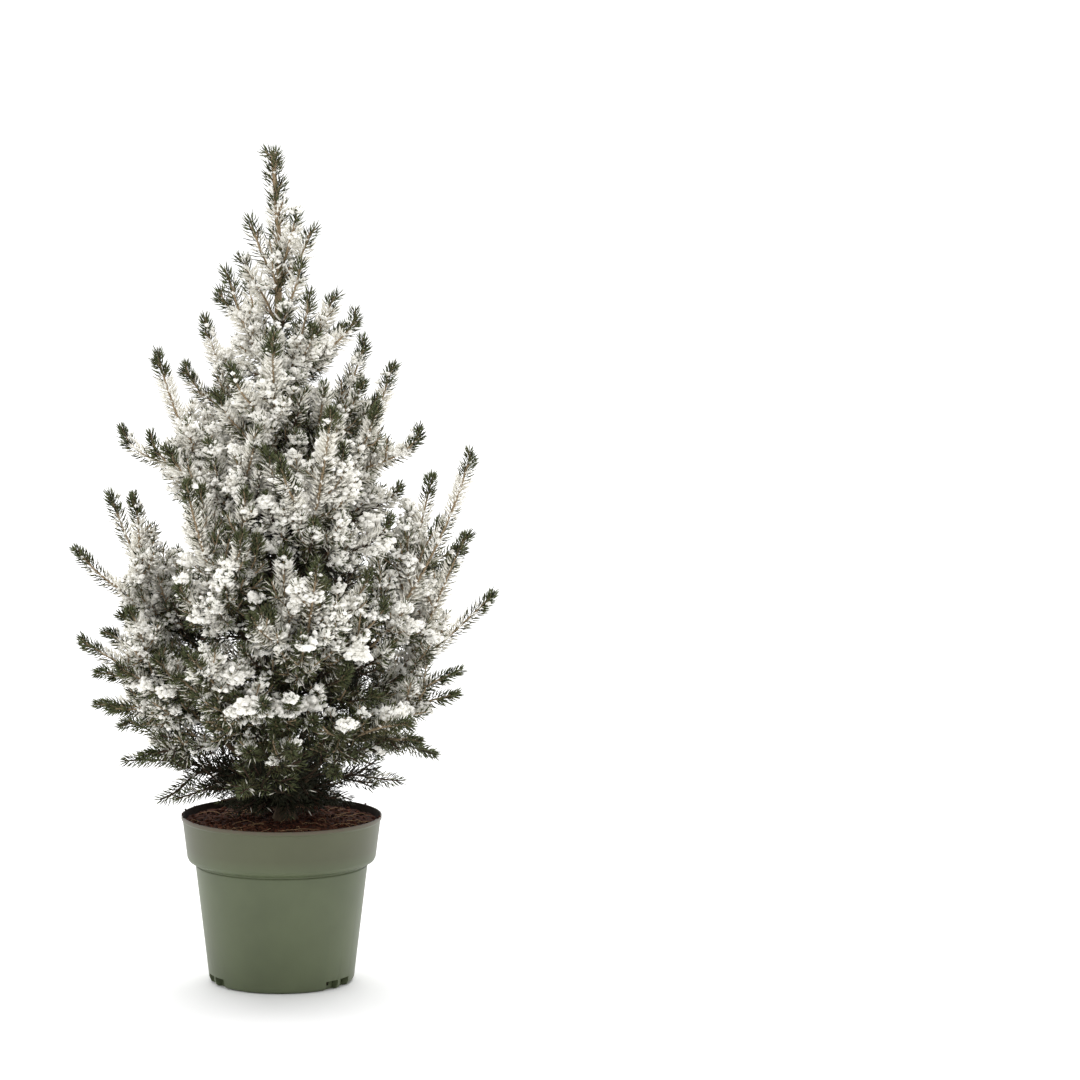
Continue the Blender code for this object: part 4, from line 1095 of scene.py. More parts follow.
def bough_plans():
    """Azimuth, reach and height of the main tip and of the side tip of each bough."""
    plans = []
    for azimuth, main, fork in SIDE_BOUGHS:
        turn = azimuth + FORK_TURN * (1.0 if azimuth % 180.0 < 90.0 else -1.0)
        main_lean = abs(math.sin(math.radians(azimuth)))
        fork_lean = abs(math.sin(math.radians(turn)))
        plans.append((azimuth, main[0] / main_lean, main[1], turn, fork[0] / fork_lean, fork[1]))
    for fan, middle in enumerate(FAN_MIDDLES):
        rng = random.Random(SEED + fan)
        for index in range(FAN_BOUGHS):
            side = 1.0 if index % 2 else -1.0
            share = (FAN_FIRST_SHARE + index * GOLDEN_SHARE) % 1.0
            azimuth = middle + side * FAN_HALF_ANGLE * (0.22 + 0.78 * share)
            height = FAN_LOW + (FAN_HIGH - FAN_LOW) * index / (FAN_BOUGHS - 1)
            height += rng.uniform(-0.012, 0.012)
            reach = body_radius(height) + SHOOT_STANDOUT * rng.uniform(0.7, 1.15)
            fork_height = height - FORK_DROP if index else height + FORK_DROP
            fork_reach = body_radius(fork_height) + SHOOT_STANDOUT * rng.uniform(0.4, 0.9)
            plans.append((azimuth, reach, height, azimuth - side * FORK_TURN, fork_reach, fork_height))
    return plans


def upper_plans():
    """Azimuth, reach and height of each shoot that grows from the trunk itself, the two lowest last."""
    plans = []
    for whorl, (left, right, count, first) in enumerate(UPPER_WHORLS + (FOOT_WHORL,)):
        rng = random.Random(SEED * 10 + whorl)
        for index in range(count):
            azimuth = first + index * 360.0 / count + rng.uniform(-9.0, 9.0)
            share = 0.5 + 0.5 * math.sin(math.radians(azimuth))
            plans.append((azimuth, *(between(pair, share) for pair in zip(left, right))))
    return plans


def seated_path(space, azimuth, reach, height, gap):
    """A limb's path, its foot moved up the trunk until the limb is clear of the others."""
    foot = natural_foot(reach, height)
    for _ in range(FOOT_TRIES):
        path = limb_path(azimuth, reach, height, foot)
        if space.nearest(path.samples()) > gap:
            break
        foot += FOOT_STEP
    return path


def trunk_line(low, high):
    return Path(np.array([trunk_axis(height) for height in np.linspace(low, high, FINE)]))


def grow_limbs():
    """The boughs with their foot radius, and the shoots that the limbs carry on as."""
    space = Space()
    boughs = []
    shoots = []
    plans = sorted(bough_plans(), key=lambda plan: plan[2])
    for azimuth, reach, height, fork_azimuth, fork_reach, fork_height in plans:
        path = seated_path(space, azimuth, reach, height, 2.2 * BOUGH_TIP_RADIUS)
        cut = BOUGH_SHARE * path.length
        radius = BOUGH_FOOT_RADIUS + BOUGH_GROWTH * path.length
        boughs.append((path, cut, radius))
        space.add(path.samples(), radius)
        root = cut + GAP + FORK_SHARE * (path.length - cut - GAP)
        tip = spot(fork_azimuth, fork_reach, fork_height)
        towards = unit(tip - path.at(root))
        leave = unit(path.heading(root) + FORK_LEAVING_PULL * towards)
        arrive = unit(aimed(fork_azimuth, tip_rise(fork_height)) + FORK_TIP_PULL * towards)
        fork = swept(path.at(root), leave, tip, arrive)
        space.add(fork.samples(0.010), TWIG_RADIUS)
        shoots.append(Shoot(path, 1, 0.8 * cut, BOUGH_TIP_RADIUS))
        shoots.append(Shoot(fork, 1, FORK_BARE, LIMB_RADIUS))
    line = trunk_line(TRUNK_TOP - LEADER_BELOW, PLANT_TOP - PLANT_TOP_GAP)
    shoots.append(Shoot(line, 1, LEADER_BARE, LEADER_RADIUS, LEADER_TIP_RADIUS))
    space.add(trunk_line(TRUNK_TOP + GAP, PLANT_TOP).samples(), STEM_RADIUS)
    for azimuth, reach, height in upper_plans():
        path = seated_path(space, azimuth, reach, height, TWIG_GAP - STEM_RADIUS)
        space.add(path.samples(), STEM_RADIUS)
        shoots.append(Shoot(path, 1, LIMB_BARE, LIMB_RADIUS))
    return boughs, shoots


# Finer shoots


class Crowd:
    """Which shoot takes up each cell of the crown."""

    def __init__(self):
        self.cells = {}

    def keys(self, points):
        return [tuple(cell) for cell in np.floor(points / CELL).astype(int)]

    def add(self, shoot, number):
        for key in self.keys(shoot.path.samples(0.0, 0.6 * CELL)):
            self.cells.setdefault(key, number)

    def share_taken(self, path, parent):
        """Share of the outer part of a path that lies in cells of other shoots."""
        keys = self.keys(path.samples(0.3 * path.length, 0.6 * CELL))
        taken = [key for key in keys if self.cells.get(key, parent) != parent]
        return len(taken) / len(keys)


def in_reach(path):
    """Whether the outer half of a shoot keeps to the closed body of the crown."""
    for point in path.at(np.array((0.6, 1.0)) * path.length):
        high = smooth_step(*OVERSHOOT_HEIGHTS, point[2])
        limit = body_radius(point[2]) + BODY_OVERSHOOT[0] + (BODY_OVERSHOOT[1] - BODY_OVERSHOOT[0]) * high
        if not LOWEST_SHOOT < point[2] < PLANT_TOP - TOP_CLEAR or math.hypot(point[0], point[1]) > limit:
            return False
    return True


def leaving(heading, turn, opening):
    """The way that leaves a heading by an opening, turned about it, both in degrees."""
    side = unit(np.cross(heading, SKEW))
    across = np.cross(heading, side)
    turn, opening = math.radians(turn), math.radians(opening)
    out = side * math.cos(turn) + across * math.sin(turn)
    return heading * math.cos(opening) + out * math.sin(opening)


def side_shoot(parent, along, turn, length, order, rng):
    """A shoot that leaves its parent at an angle, and bends towards the parent's heading and upwards."""
    heading = parent.path.heading(along)
    leave = leaving(heading, turn, SIDE_ANGLE + rng.uniform(-SIDE_ANGLE_SPREAD, SIDE_ANGLE_SPREAD))
    start = parent.path.at(along)
    lift = SMALL_LIFT
    if order == 2:
        lift = between(SIDE_LIFT, smooth_step(*SIDE_LIFT_HEIGHTS, start[2]))
    arrive = unit(SIDE_BEND[0] * leave + SIDE_BEND[1] * heading + np.array((0.0, 0.0, lift)))
    end = start + unit(leave + SIDE_SWING * arrive) * length
    return swept(start, leave, end, arrive, SHOOT_FINE)


def reaching_shoot(shoots, tip, rise):
    """A shoot that ends at a place with a given climb, and starts from the nearest limb."""
    azimuth = math.degrees(math.atan2(tip[0], -tip[1]))
    arrive = aimed(azimuth, rise)
    wanted = tip - unit(arrive + TIP_BACK_BEND[0] * aimed(azimuth, TIP_BACK_BEND[1])) * TIP_BACK
    best = min(shoots, key=lambda shoot: float(np.linalg.norm(shoot.path.points - wanted, axis=1).min()))
    spread = np.linalg.norm(best.path.points - wanted, axis=1)
    along = float(best.path.lengths[int(spread.argmin())])
    start = best.path.at(along)
    leave = unit(best.path.heading(along) + REACHING_PULL * unit(tip - start))
    return Shoot(swept(start, leave, tip, arrive), 1, LIMB_BARE, REACHING_RADIUS)


def outline_shoots(shoots):
    """Shoots to the places seen on the outline, and upright columns wherever no other tip is near."""
    made = [reaching_shoot(shoots, np.array(row[:3]), row[3]) for row in OUTLINE_TIPS]
    tips = [shoot.path.at(shoot.path.length) for shoot in shoots + made]
    rng = random.Random(SEED + 12)
    for index in range(COLUMN_TRIES):
        height = between(COLUMN_HEIGHTS, (index * GOLDEN_SHARE) % 1.0)
        reach = body_radius(height) - COLUMN_INSET * rng.random()
        tip = spot(index * GOLDEN_ANGLE, reach, height)
        if min(float(np.linalg.norm(tip - other)) for other in tips) > COLUMN_ROOM:
            tips.append(tip)
            rise = max(tip_rise(height), COLUMN_RISE) - rng.uniform(0.0, COLUMN_FALL)
            made.append(reaching_shoot(shoots, tip, rise))
    return made


def bud_shoots(shoots):
    """Short tufted shoots: a few round each main tip, and more all along the leader."""
    made = []
    rng = random.Random(SEED + 13)
    for shoot in shoots:
        length = shoot.path.length
        if shoot.order != 1 or shoot.path.at(length)[2] < BUD_LOWEST:
            continue
        places = [length - distance for distance in BUD_PLACES]
        growth = 1.0
        if shoot.is_leader():
            places += list(np.arange(LEADER_BUDS_FROM * length, length - LEADER_BUDS_END, LEADER_BUDS))
            growth = LEADER_BUD_GROWTH
        turn = rng.uniform(0.0, 360.0)
        for along in places:
            turn += GOLDEN_ANGLE
            heading = shoot.path.heading(along)
            leave = leaving(heading, turn, BUD_ANGLE * growth + rng.uniform(-BUD_SPREAD, BUD_SPREAD))
            arrive = unit(leave + BUD_PULL * heading)
            start = shoot.path.at(along)
            end = start + unit(leave + arrive) * BUD_LENGTH * growth * rng.uniform(0.8, 1.2)
            end[2] = min(end[2], PLANT_TOP - PLANT_TOP_GAP)
            made.append(Shoot(swept(start, leave, end, arrive, BUD_FINE), BUD, BUD_BARE))
    return made


def trunk_spot(foot, azimuth):
    """A place inside the trunk's skin, where a short shoot starts."""
    return trunk_axis(foot) + outwards(azimuth) * trunk_radius(foot) * TRUNK_SHARE


def skirt_shoots():
    """Short low shoots that hide the foot of the trunk."""
    made = []
    rng = random.Random(SEED + 9)
    for index in range(SKIRT_SHOOTS):
        azimuth = index * GOLDEN_ANGLE + rng.uniform(-8.0, 8.0)
        start = trunk_spot(rng.uniform(*SKIRT_FEET), azimuth)
        tip = spot(azimuth + rng.uniform(-15.0, 15.0), rng.uniform(*SKIRT_REACH), rng.uniform(*SKIRT_TIPS))
        leave = aimed(azimuth, rng.uniform(15.0, 40.0))
        path = swept(start, leave, tip, aimed(azimuth, rng.uniform(-15.0, 25.0)))
        made.append(Shoot(path, 1, LIMB_BARE, REACHING_RADIUS))
    return made


def inner_shoots():
    """Short shoots all round and all along the trunk."""
    made = []
    rng = random.Random(SEED + 14)
    for index in range(INNER_SHOOTS):
        azimuth = index * GOLDEN_ANGLE + rng.uniform(-8.0, 8.0)
        foot = INNER_FEET[0] + (INNER_FEET[1] - INNER_FEET[0]) * (index + rng.random()) / INNER_SHOOTS
        start = trunk_spot(foot, azimuth)
        reach = min(rng.uniform(*INNER_REACH), 0.7 * body_radius(foot))
        tip = start + spot(azimuth + rng.uniform(-20.0, 20.0), reach, rng.uniform(*INNER_CLIMB))
        path = swept(start, aimed(azimuth, 25.0), tip, aimed(azimuth, 50.0), SHOOT_FINE)
        made.append(Shoot(path, 2, SIDE_BARE))
    return made


def branch_out(parents, taken, crowd, order, spacing, lengths, growth, last, first):
    """Side shoots along each numbered parent by the golden angle; one that finds no room is left out."""
    made = []
    for parent_number, parent in parents:
        rng = random.Random(SEED * 1000 + parent_number)
        free = parent.path.length
        along = first(parent)
        turn = rng.uniform(0.0, 360.0)
        while along < free - last:
            turn += GOLDEN_ANGLE
            height = parent.path.at(along)[2]
            length = min(max(lengths[0] + growth * (free - last - along), lengths[0]), lengths[1])
            shorter = 1.0 - SIDE_SHORTER * smooth_step(*SIDE_SHORTER_HEIGHTS, height)
            length *= rng.uniform(0.85, 1.15) * shorter
            for attempt in range(SHOOT_TRIES):
                tried = length * TRY_SHRINK**attempt
                path = side_shoot(parent, along, turn + TRY_TURN * attempt, tried, order, rng)
                if in_reach(path) and crowd.share_taken(path, parent_number) <= CROWDED:
                    shoot = Shoot(path, order, SIDE_BARE)
                    crowd.add(shoot, taken + len(made))
                    made.append(shoot)
                    break
            high = smooth_step(*TOP_HEIGHTS, height)
            along += spacing * rng.uniform(0.8, 1.2) * (1.0 + (TOP_SPACING - 1.0) * high)
    return made


def side_start(parent):
    return max(SIDE_FIRST_SHARE * parent.path.length, parent.bare)


def grow_shoots(shoots):
    """All shoots of the crown: the limbs' ends, the outline's tips, two orders of side shoots and buds."""
    shoots = shoots + outline_shoots(shoots) + skirt_shoots()
    crowd = Crowd()
    for number, shoot in enumerate(shoots):
        crowd.add(shoot, number)
    count = len(shoots)
    sides = (2, SIDE_SPACING, SIDE_LENGTH, SIDE_GROWTH, SIDE_LAST, side_start)
    seconds = branch_out(list(enumerate(shoots)), count, crowd, *sides)
    seconds += inner_shoots()
    shoots = shoots + seconds
    numbered = [(number, shoot) for number, shoot in enumerate(seconds, count)]
    longer = [item for item in numbered if item[1].path.length > SMALL_PARENT * SMALL_LENGTH[0]]
    small = (3, SMALL_SPACING, SMALL_LENGTH, SMALL_GROWTH, SMALL_LAST, lambda parent: SMALL_FIRST)
    thirds = branch_out(longer, len(shoots), crowd, *small)
    return shoots + thirds + bud_shoots(shoots)


# Wood


def frames(path, places):
    """Centre, heading and two cross directions at each place along a path."""
    centres = path.at(places)
    headings = path.heading(places)
    side = units(np.cross(headings, SKEW))
    return centres, headings, side, np.cross(headings, side)


def ring_points(path, places, radii, sides):
    """Points in rings round a path, with their centres and the ways out to them."""
    centres, _, side, across = frames(path, places)
    angles = 2.0 * np.pi * np.arange(sides) / sides
    ways = side[:, None] * np.cos(angles)[None, :, None] + across[:, None] * np.sin(angles)[None, :, None]
    return centres[:, None] + ways * radii[:, None, None], centres, ways


def tube(path, root_radius, tip_radius, sides, rings):
    """An open tapering tube with a pointed end, as points and triangles."""
    radii = np.linspace(root_radius, tip_radius, rings)
    points, centres, _ = ring_points(path, np.linspace(0.0, path.length, rings), radii, sides)
    points = np.vstack((points.reshape(-1, 3), centres[-1] + path.heading(path.length) * tip_radius))
    return points, tube_faces(sides, rings)


def tube_faces(sides, rings):
    faces = []
    for ring in range(rings - 1):
        for corner in range(sides):
            low = ring * sides + corner
            after = ring * sides + (corner + 1) % sides
            faces.append((low, after, after + sides))
            faces.append((low, after + sides, low + sides))
    last = (rings - 1) * sides
    faces += [(last + corner, last + (corner + 1) % sides, rings * sides) for corner in range(sides)]
    return np.array(faces)


def rough_tube(path, radii, places, sides):
    """A tube whose bark stands up in small pegs and ridges."""
    points, centres, ways = ring_points(path, places, radii, sides)
    level, upright = RIDGE_SCALE
    peg_level, peg_upright = PEG_SCALE
    for ring in range(len(places)):
        for corner in range(sides):
            x, y, z = points[ring, corner]
            ridge = noise.noise(Vector((x * level, y * level, z * upright)))
            peg = noise.noise(Vector((x * peg_level, y * peg_level, z * peg_upright + 9.0)))
            peg = max(0.0, peg - PEG_LEVEL)
            rise = radii[ring] * BARK_RELIEF * (ridge + PEG_HEIGHT * peg)
            points[ring, corner] += ways[ring, corner] * rise
    points = np.vstack((points.reshape(-1, 3), centres[-1]))
    return points, tube_faces(sides, len(places))


def nodes_named(start):
    return [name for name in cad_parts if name.startswith(start)]


def make_wood(boughs, shoots):
    bark = bark_material()
    heights = np.arange(SOIL_TOP - 0.002, TRUNK_TOP, BARK_STEP)
    line = Path(np.array([trunk_axis(height) for height in heights]))
    radii = np.array([trunk_radius(max(height, SOIL_TOP)) for height in heights])
    trunk = array_mesh("trunk_bark", *rough_tube(line, radii, line.lengths, TRUNK_SIDES))
    place(trunk, bark, "bark", ["trunk"])
    limbs_wood = Batch()
    for path, cut, radius in boughs:
        places = np.linspace(0.0, cut, BOUGH_RINGS)
        radii = np.linspace(radius, BOUGH_TIP_RADIUS, BOUGH_RINGS)
        limbs_wood.add(*rough_tube(path, radii, places, BOUGH_SIDES))
    limbs_wood.build("boughs_bark", bark, "bark", nodes_named("bough_"))
    young = Batch()
    shade_painted = Batch()
    for shoot in shoots:
        main = shoot.order == 1
        covered = main and shoot.bare > 0.01 and not shoot.is_leader()
        path = Path(shoot.path.samples(shoot.bare if covered else 0.0, WOOD_SAMPLES[0 if main else 1]))
        rings = max(3, int(path.length / WOOD_RINGS[0 if main else 1]))
        middle = path.at(0.5 * path.length)
        # Shoots in the shaded inner part or low down take the dark wood: painted shade
        batch = shade_painted if is_inside(middle[None])[0] or middle[2] < SHADE_PAINTED_WOOD_HEIGHT else young
        batch.add(*tube(path, shoot.root_radius, shoot.tip_radius, WOOD_SIDES.get(shoot.order, 3), rings))
    young.build("young_wood", plain_material("young_wood", YOUNG_WOOD, 0.75, 0.25, 0.4), "bark")
    shade_painted.build("shade_painted_wood", plain_material("shade_painted_wood", SHADE_PAINTED_WOOD, 0.80, 0.20, 0.4), "bark")


# Needles


SPINDLE = np.array([(0, 2, 1), (0, 3, 2), (0, 1, 3), (1, 2, 4), (2, 3, 4), (3, 1, 4)])


def spindles(roots, middles, tips, radii):
    """Three-sided needles, each widest at its middle, as points and triangles."""
    aim = units(tips - roots)
    side = units(np.cross(aim, SKEW))
    across = np.cross(aim, side)
    points = np.empty((len(roots), 5, 3))
    points[:, 0] = roots
    for corner in range(3):
        angle = 2.0 * math.pi * corner / 3.0
        points[:, 1 + corner] = middles + (side * math.cos(angle) + across * math.sin(angle)) * radii[:, None]
    points[:, 4] = tips
    shifts = 5 * np.arange(len(roots))[:, None, None]
    return points.reshape(-1, 3), (SPINDLE[None] + shifts).reshape(-1, 3)


def depth_share(points):
    """Distance from the axis as a share of the crown's radius at that height."""
    heights, radii = zip(*BODY_PROFILE)
    return np.hypot(points[:, 0], points[:, 1]) / np.interp(points[:, 2], heights, radii)


def is_inside(points):
    """Whether a place lies in the shaded inner part, which is the whole crown just above the pot."""
    limit = SHADE_DEPTH
    for amount, start, width in SHADE_CHANGES:
        limit = limit + amount * grown(points[:, 2], start, width)
    return depth_share(points) < limit


def exposure(points, ups):
    """How much snow reaches a place: little inside and low down, most on upper sides near the surface."""
    share = depth_share(points)
    height = points[:, 2]
    snow = OUTER_SNOW * grown(share, *OUTER_SNOW_DEPTH)
    upper = grown(height, *UPPER_SNOW_HEIGHT)
    snow = snow + (UPPER_SNOW - snow) * upper * grown(share, *UPPER_SNOW_DEPTH)
    snow = snow + (TOP_SNOW - snow) * grown(height, *TOP_SNOW_HEIGHT)
    tips = 1.0 - TIP_SNOW_LOSS * grown(share, *TIP_SNOW_DEPTH) * (1.0 - upper)
    low = grown(height, *LOW_SNOW_HEIGHT, LEAST_SNOW)
    return snow * tips * low * np.clip(UPSIDE_SNOW[0] + UPSIDE_SNOW[1] * ups, 0.0, 1.0)


def patches(points):
    """Uneven cover: patches where much snow lies and patches that are nearly free of it."""
    values = np.array([noise.noise(Vector(point) * PATCH_SCALE) for point in points])
    upper = grown(np.array(points)[:, 2], *PATCH_HEIGHT)
    cover = (values + PATCH_BIAS[0] + PATCH_BIAS[1] * upper) / (PATCH_WIDTH[0] + PATCH_WIDTH[1] * upper)
    return np.clip(cover, LEAST_SNOW, 1.0)


def needle_shape(shoot, high, rng):
    """Roots, middles and tips of a shoot's needles, with their ways out, centres and distance to its tip."""
    path = shoot.path
    free = path.length - shoot.bare
    count = int(NEEDLES_PER_METRE * free * ORDER_NEEDLES[shoot.order] * (1.0 - TOP_THINNING * high))
    if count < FEWEST_NEEDLES:
        return None
    places = shoot.bare + free * (np.arange(count) + rng.uniform(0.0, NEEDLE_PLACING, count)) / count
    centres, headings, side, across = frames(path, places)
    turn = np.radians(np.arange(count) * GOLDEN_ANGLE + rng.uniform(-NEEDLE_TURN, NEEDLE_TURN, count))
    outs = side * np.cos(turn)[:, None] + across * np.sin(turn)[:, None]
    to_tip = path.length - places
    tuft = np.clip(1.0 - to_tip / TUFT_LENGTH, 0.0, 1.0)
    ways = []
    for angle, closing in zip((ROOT_ANGLE, TIP_ANGLE), TUFT_CLOSING):
        spread = rng.uniform(-NEEDLE_ANGLE_SPREAD, NEEDLE_ANGLE_SPREAD, count)
        angle = np.radians(angle - closing * tuft + spread)
        ways.append(headings * np.cos(angle)[:, None] + outs * np.sin(angle)[:, None])
    length = NEEDLE_LENGTH * rng.uniform(*NEEDLE_LENGTHS, count)
    length = length * (1.0 - TUFT_SHORTER * tuft) * (1.0 + TOP_STRETCH * high)
    if shoot.order == 1:
        length = length * (1.0 + (LEADER_STRETCH if shoot.is_leader() else MAIN_STRETCH) * (1.0 - tuft))
    roots = centres + outs * (0.5 * SHOOT_TIP_RADIUS)
    middles = roots + ways[0] * (NEEDLE_HALVES[0] * length)[:, None]
    tips = middles + ways[1] * (NEEDLE_HALVES[1] * length)[:, None]
    return roots, middles, tips, outs, centres, to_tip


def needle_kinds(shoot, middles, outs, centres, to_tip, free_tips, rng):
    """The colour kind of each needle, and whether it is kept. Tips that stand out of the crown stay green."""
    count = len(middles)
    marks = np.linspace(0, count - 1, SNOW_MARKS).astype(int)
    patch = np.interp(np.arange(count), marks, patches(middles[marks]))
    snowy = exposure(middles, outs[:, 2]) * (NEEDLE_SNOW[0] + NEEDLE_SNOW[1] * patch)
    inside = is_inside(centres)
    draw = rng.random(count)
    to_free_tip = np.linalg.norm(centres[:, None] - free_tips, axis=2).min(axis=1)
    below_tip = (to_tip > GREEN_TIP) & (to_free_tip > FREE_TIP)
    takes_snow = below_tip & (shoot.order != BUD)
    flocked = draw < FLOCKED_SHARE * snowy * takes_snow
    coated = np.sqrt(np.clip(snowy, 0.0, 1.0)) * takes_snow
    frosted = ~flocked & below_tip & (draw < FLOCKED_SHARE * snowy + FROSTED_SHARE * coated)
    shade = rng.random(count)
    fresh = np.where((to_tip < FRESH_TIP) & (shade > FRESH_FROM), "fresh", "olive")
    # Needles in the shaded inner part are painted dark as painted shade; elsewhere a random share is dark as
    # their own tone
    kinds = np.where(inside | (shade < DARK_SHARE), "dark", fresh)
    kinds = np.where(flocked, "flocked", np.where(frosted, "frosted", kinds))
    return kinds, ~inside | (rng.random(count) < INNER_NEEDLES)


def grow_needles(shoots):
    rng = np.random.default_rng(SEED)
    batches = {kind: Batch() for kind in NEEDLE_COLOURS}
    ends = np.array([shoot.path.at(shoot.path.length) for shoot in shoots])
    main = np.array([shoot.order == 1 for shoot in shoots])
    share = depth_share(ends)
    free = (main & (share > FREE_SHARES[0])) | (share > FREE_SHARES[1]) | (ends[:, 2] > LEADER_FOOT)
    free_tips = ends[free]
    for shoot in shoots:
        high = smooth_step(*TOP_HEIGHTS, shoot.path.at(0.6 * shoot.path.length)[2])
        shape = needle_shape(shoot, high, rng)
        if shape is None:
            continue
        roots, middles, tips, outs, centres, to_tip = shape
        kinds, kept = needle_kinds(shoot, middles, outs, centres, to_tip, free_tips, rng)
        for kind, batch in batches.items():
            chosen = (kinds == kind) & kept
            if chosen.any():
                radii = np.full(int(chosen.sum()), NEEDLE_RADII.get(kind, NEEDLE_RADIUS))
                batch.add(*spindles(roots[chosen], middles[chosen], tips[chosen], radii))
    for kind, batch in batches.items():
        material = plain_material(f"needles_{kind}", NEEDLE_COLOURS[kind], 0.62, 0.28)
        batch.build(f"needles_{kind}", material, "foliage", nodes_named("foliage_"))


# Snow


def ball(subdivisions):
    bm = bmesh.new()
    bmesh.ops.create_icosphere(bm, subdivisions=subdivisions, radius=1.0)
    points = np.array([tuple(vert.co) for vert in bm.verts])
    faces = np.array([[vert.index for vert in face.verts] for face in bm.faces])
    bm.free()
    return points, faces


def octahedron():
    points = [(0, 0, 1), (1, 0, 0), (0, 1, 0), (-1, 0, 0), (0, -1, 0), (0, 0, -1)]
    ring = (1, 2, 3, 4)
    faces = [(0, ring[i], ring[(i + 1) % 4]) for i in range(4)]
    faces += [(5, ring[(i + 1) % 4], ring[i]) for i in range(4)]
    return np.array(points, dtype=float) * OCTAHEDRON_RADIUS, np.array(faces)


SMALL_BALL = octahedron()
BALL = ball(1)


def lump(radius, rng, roughness):
    """A lumpy ball about the origin, drawn out a little along some direction; small ones have fewer faces."""
    points, faces = SMALL_BALL if radius < SMALL_LUMP else BALL
    uneven = np.array([1.0 + rng.uniform(-roughness, roughness) for _ in points])
    axis = unit(random_way(rng))
    drawn = points + np.outer(points @ axis, axis) * rng.uniform(*LUMP_DRAW)
    return drawn * uneven[:, None] * radius, faces


def add_lump(batch, radius, rng, roughness, flatness, *shifts):
    """Puts a flattened lump into the batch, moved by each shift."""
    points, faces = lump(radius, rng, roughness)
    points = points * (1.0, 1.0, flatness)
    for shift in shifts:
        points = points + shift
    batch.add(points, faces)


def dust_shoots(shoots, batch):
    """Lumps of all sizes that lie on the shoots and their needles, most on the upper side."""
    rng = random.Random(SEED + 5)
    for shoot in shoots:
        free = shoot.path.length - shoot.bare - LUMP_BARE
        if free <= 0.0:
            continue
        patch = patches(shoot.path.at(np.array((0.4, 0.8)) * shoot.path.length)).mean()
        for _ in range(int(LUMPS_PER_METRE * free + rng.random())):
            along = shoot.bare + free * rng.random()
            centre = shoot.path.at(along)
            heading = shoot.path.heading(along)
            out = unit(np.cross(heading, random_way(rng)))
            out = unit(out + np.array((0.0, 0.0, LUMP_LIFT)))
            point = centre + (out + LUMP_AHEAD * heading) * rng.uniform(*LUMP_OFFSETS)
            if rng.random() <= exposure(point[None], out[None, 2])[0] * patch * LUMP_SHARE:
                size = between(LUMP_SIZES, rng.random() ** LUMP_SMALLER)
                add_lump(batch, size, rng, LUMP_ROUGHNESS, SNOW_FLATNESS, point)


def cap_shoots(shoots, batch):
    """Balls of lumps that wrap the tips of side shoots which don't stand out of the crown."""
    rng = random.Random(SEED + 8)
    for shoot in shoots:
        tip = shoot.path.at(shoot.path.length - CAP_BACK)
        if shoot.order in (1, BUD) or depth_share(tip[None])[0] > OUTSIDE:
            continue
        if rng.random() > CAP_SHARE * (exposure(tip[None], np.ones(1))[0] * patches([tip])[0]):
            continue
        for _ in range(rng.randint(*CAP_LUMPS)):
            away = random_way(rng, CAP_SCATTER) * CAP_SPREAD
            away[2] = max(away[2], -CAP_SINK * CAP_SPREAD)
            size = rng.uniform(CAP_SMALLEST, 1.0) * LUMP_SIZES[1]
            add_lump(batch, size, rng, LUMP_ROUGHNESS, SNOW_FLATNESS, tip, away, (0.0, 0.0, CAP_LIFT))


def clump(centre, size, rng, batch):
    """A rounded heap of lumps on a shoot, flat below."""
    for _ in range(int(CLUMP_LUMPS * size)):
        way = unit(random_way(rng))
        way = way * CLUMP_SPREAD * size * rng.random() ** CLUMP_FILL
        way[2] = CLUMP_HEIGHT * max(way[2], -CLUMP_SINK * CLUMP_SPREAD)
        radius = size**0.5 * rng.uniform(*CLUMP_LUMP_SIZES)
        add_lump(batch, radius, rng, CLUMP_ROUGHNESS, SNOW_FLATNESS, centre, way)


def lay_clumps(shoots, batch):
    """Clumps at the places seen on the front, and more on outer shoots all round."""
    rng = random.Random(SEED + 6)
    lift = (0.0, 0.0, CLUMP_LIFT)
    samples = np.vstack([shoot.path.samples(0.4 * shoot.path.length, CLUMP_SAMPLES) for shoot in shoots])
    frontal = samples[samples[:, 1] < FRONT_SIDE]
    for x, height, size in FRONT_CLUMPS:
        miss = np.hypot(frontal[:, 0] - x, frontal[:, 2] - height)
        centre = frontal[np.argmin(miss + FRONT_PULL[0] * (frontal[:, 1] + FRONT_PULL[1]))]
        clump(centre + lift, size, rng, batch)
    share = depth_share(samples)
    outer = samples[(share > CLUMP_DEPTH[0]) & (share < CLUMP_DEPTH[1]) & (samples[:, 2] > CLUMP_LOWEST)]
    for _ in range(RANDOM_CLUMPS):
        centre = outer[rng.randrange(len(outer))]
        size = rng.uniform(*CLUMP_RANDOM_SIZES) * min(1.0, body_radius(centre[2]) / CLUMP_FULL_RADIUS)
        clump(centre + lift, size, rng, batch)


def lay_snow(shoots):
    batch = Batch()
    dust_shoots(shoots, batch)
    cap_shoots(shoots, batch)
    lay_clumps(shoots, batch)
    for piece in batch.build("snow", snow_material(), "foliage"):
        piece.data.shade_flat()


# Setting


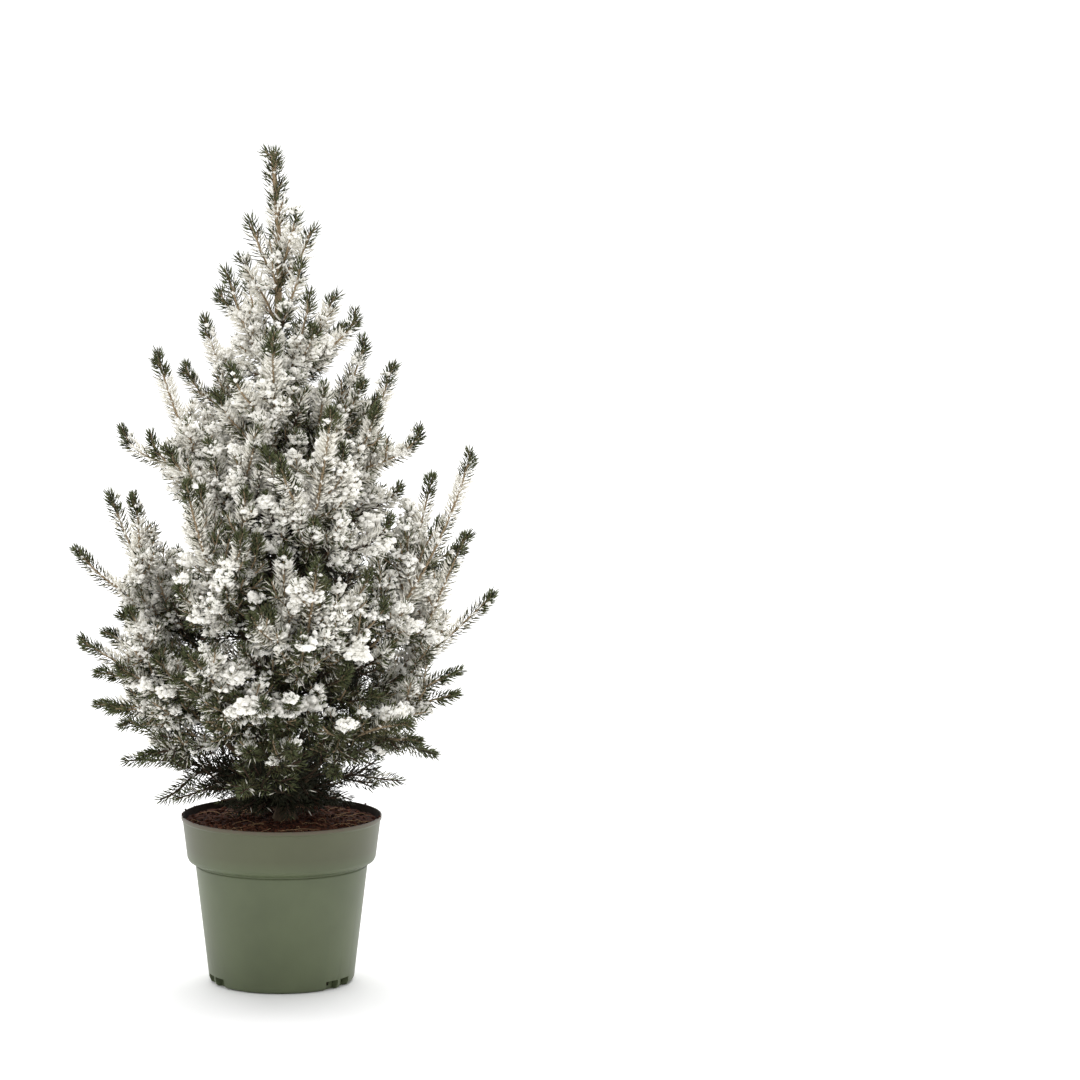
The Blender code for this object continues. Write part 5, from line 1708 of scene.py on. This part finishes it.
def make_setting():
    scene = bpy.context.scene
    scene.view_settings.view_transform = "Standard"
    corners = [(x * FLOOR_REACH, y * FLOOR_REACH, 0.0) for x, y in ((-1, -1), (1, -1), (1, 1), (-1, 1))]
    floor = array_mesh("floor", np.array(corners), np.array([(0, 1, 2, 3)]))
    nodes = Nodes("pale_floor", 0.9, 0.1)
    low, high = ((shade,) * 3 for shade in FLOOR_SHADES)
    nodes.colour(nodes.ramp(nodes.noise(scale=2.0), ((0.3, low), (0.7, high))))
    floor.data.materials.append(nodes.material)
    world = bpy.data.worlds.new("white_studio")
    world.use_nodes = True
    background = world.node_tree.nodes["Background"]
    background.inputs["Color"].default_value = (1.0, 1.0, 1.0, 1.0)
    place = world.node_tree.nodes.new("ShaderNodeTexCoord")
    along = world.node_tree.nodes.new("ShaderNodeVectorMath")
    along.operation = "DOT_PRODUCT"
    along.inputs[1].default_value = WORLD_WAY
    ramp = world.node_tree.nodes.new("ShaderNodeMapRange")
    ramp.interpolation_type = "SMOOTHSTEP"
    set_range(ramp, *WORLD_SPAN, *WORLD_LIGHT)
    world.node_tree.links.new(place.outputs["Generated"], along.inputs[0])
    world.node_tree.links.new(along.outputs["Value"], ramp.inputs["Value"])
    world.node_tree.links.new(ramp.outputs["Result"], background.inputs["Strength"])
    scene.world = world
    sun = bpy.data.lights.new("overhead", "SUN")
    sun.energy = SUN_POWER
    sun.angle = math.radians(SUN_SPREAD)
    overhead = bpy.data.objects.new("overhead", sun)
    overhead.rotation_euler = Vector(SUN_PLACE).to_track_quat("Z", "Y").to_euler()
    scene.collection.objects.link(overhead)


def make_camera():
    camera = bpy.data.cameras.new("camera")
    camera.lens = CAMERA_LENS
    camera.sensor_width = CAMERA_SENSOR
    camera.clip_end = CAMERA_FAR
    obj = bpy.data.objects.new("camera", camera)
    obj.location = CAMERA_PLACE
    pitch = math.radians(CAMERA_PITCH)
    yaw = math.radians(CAMERA_YAW)
    forward = Vector((math.sin(yaw) * math.cos(pitch), math.cos(yaw) * math.cos(pitch), -math.sin(pitch)))
    turn = forward.to_track_quat("-Z", "Y").to_matrix()
    right, up = turn.col[0].copy(), turn.col[1].copy()
    roll = math.radians(CAMERA_ROLL)
    turn.col[0] = right * math.cos(roll) + up * math.sin(roll)
    turn.col[1] = up * math.cos(roll) - right * math.sin(roll)
    obj.rotation_euler = turn.to_euler()
    bpy.context.scene.collection.objects.link(obj)
    bpy.context.scene.camera = obj


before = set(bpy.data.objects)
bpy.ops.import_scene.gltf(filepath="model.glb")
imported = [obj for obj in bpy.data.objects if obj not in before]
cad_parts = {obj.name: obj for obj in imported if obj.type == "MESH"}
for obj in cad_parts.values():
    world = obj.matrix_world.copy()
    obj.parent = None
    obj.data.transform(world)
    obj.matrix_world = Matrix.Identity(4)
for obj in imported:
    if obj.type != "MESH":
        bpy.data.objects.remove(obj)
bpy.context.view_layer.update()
make_camera()
make_setting()
make_pot()
make_soil()
limbs, limb_shoots = grow_limbs()
all_shoots = grow_shoots(limb_shoots)
make_wood(limbs, all_shoots)
grow_needles(all_shoots)
lay_snow(all_shoots)
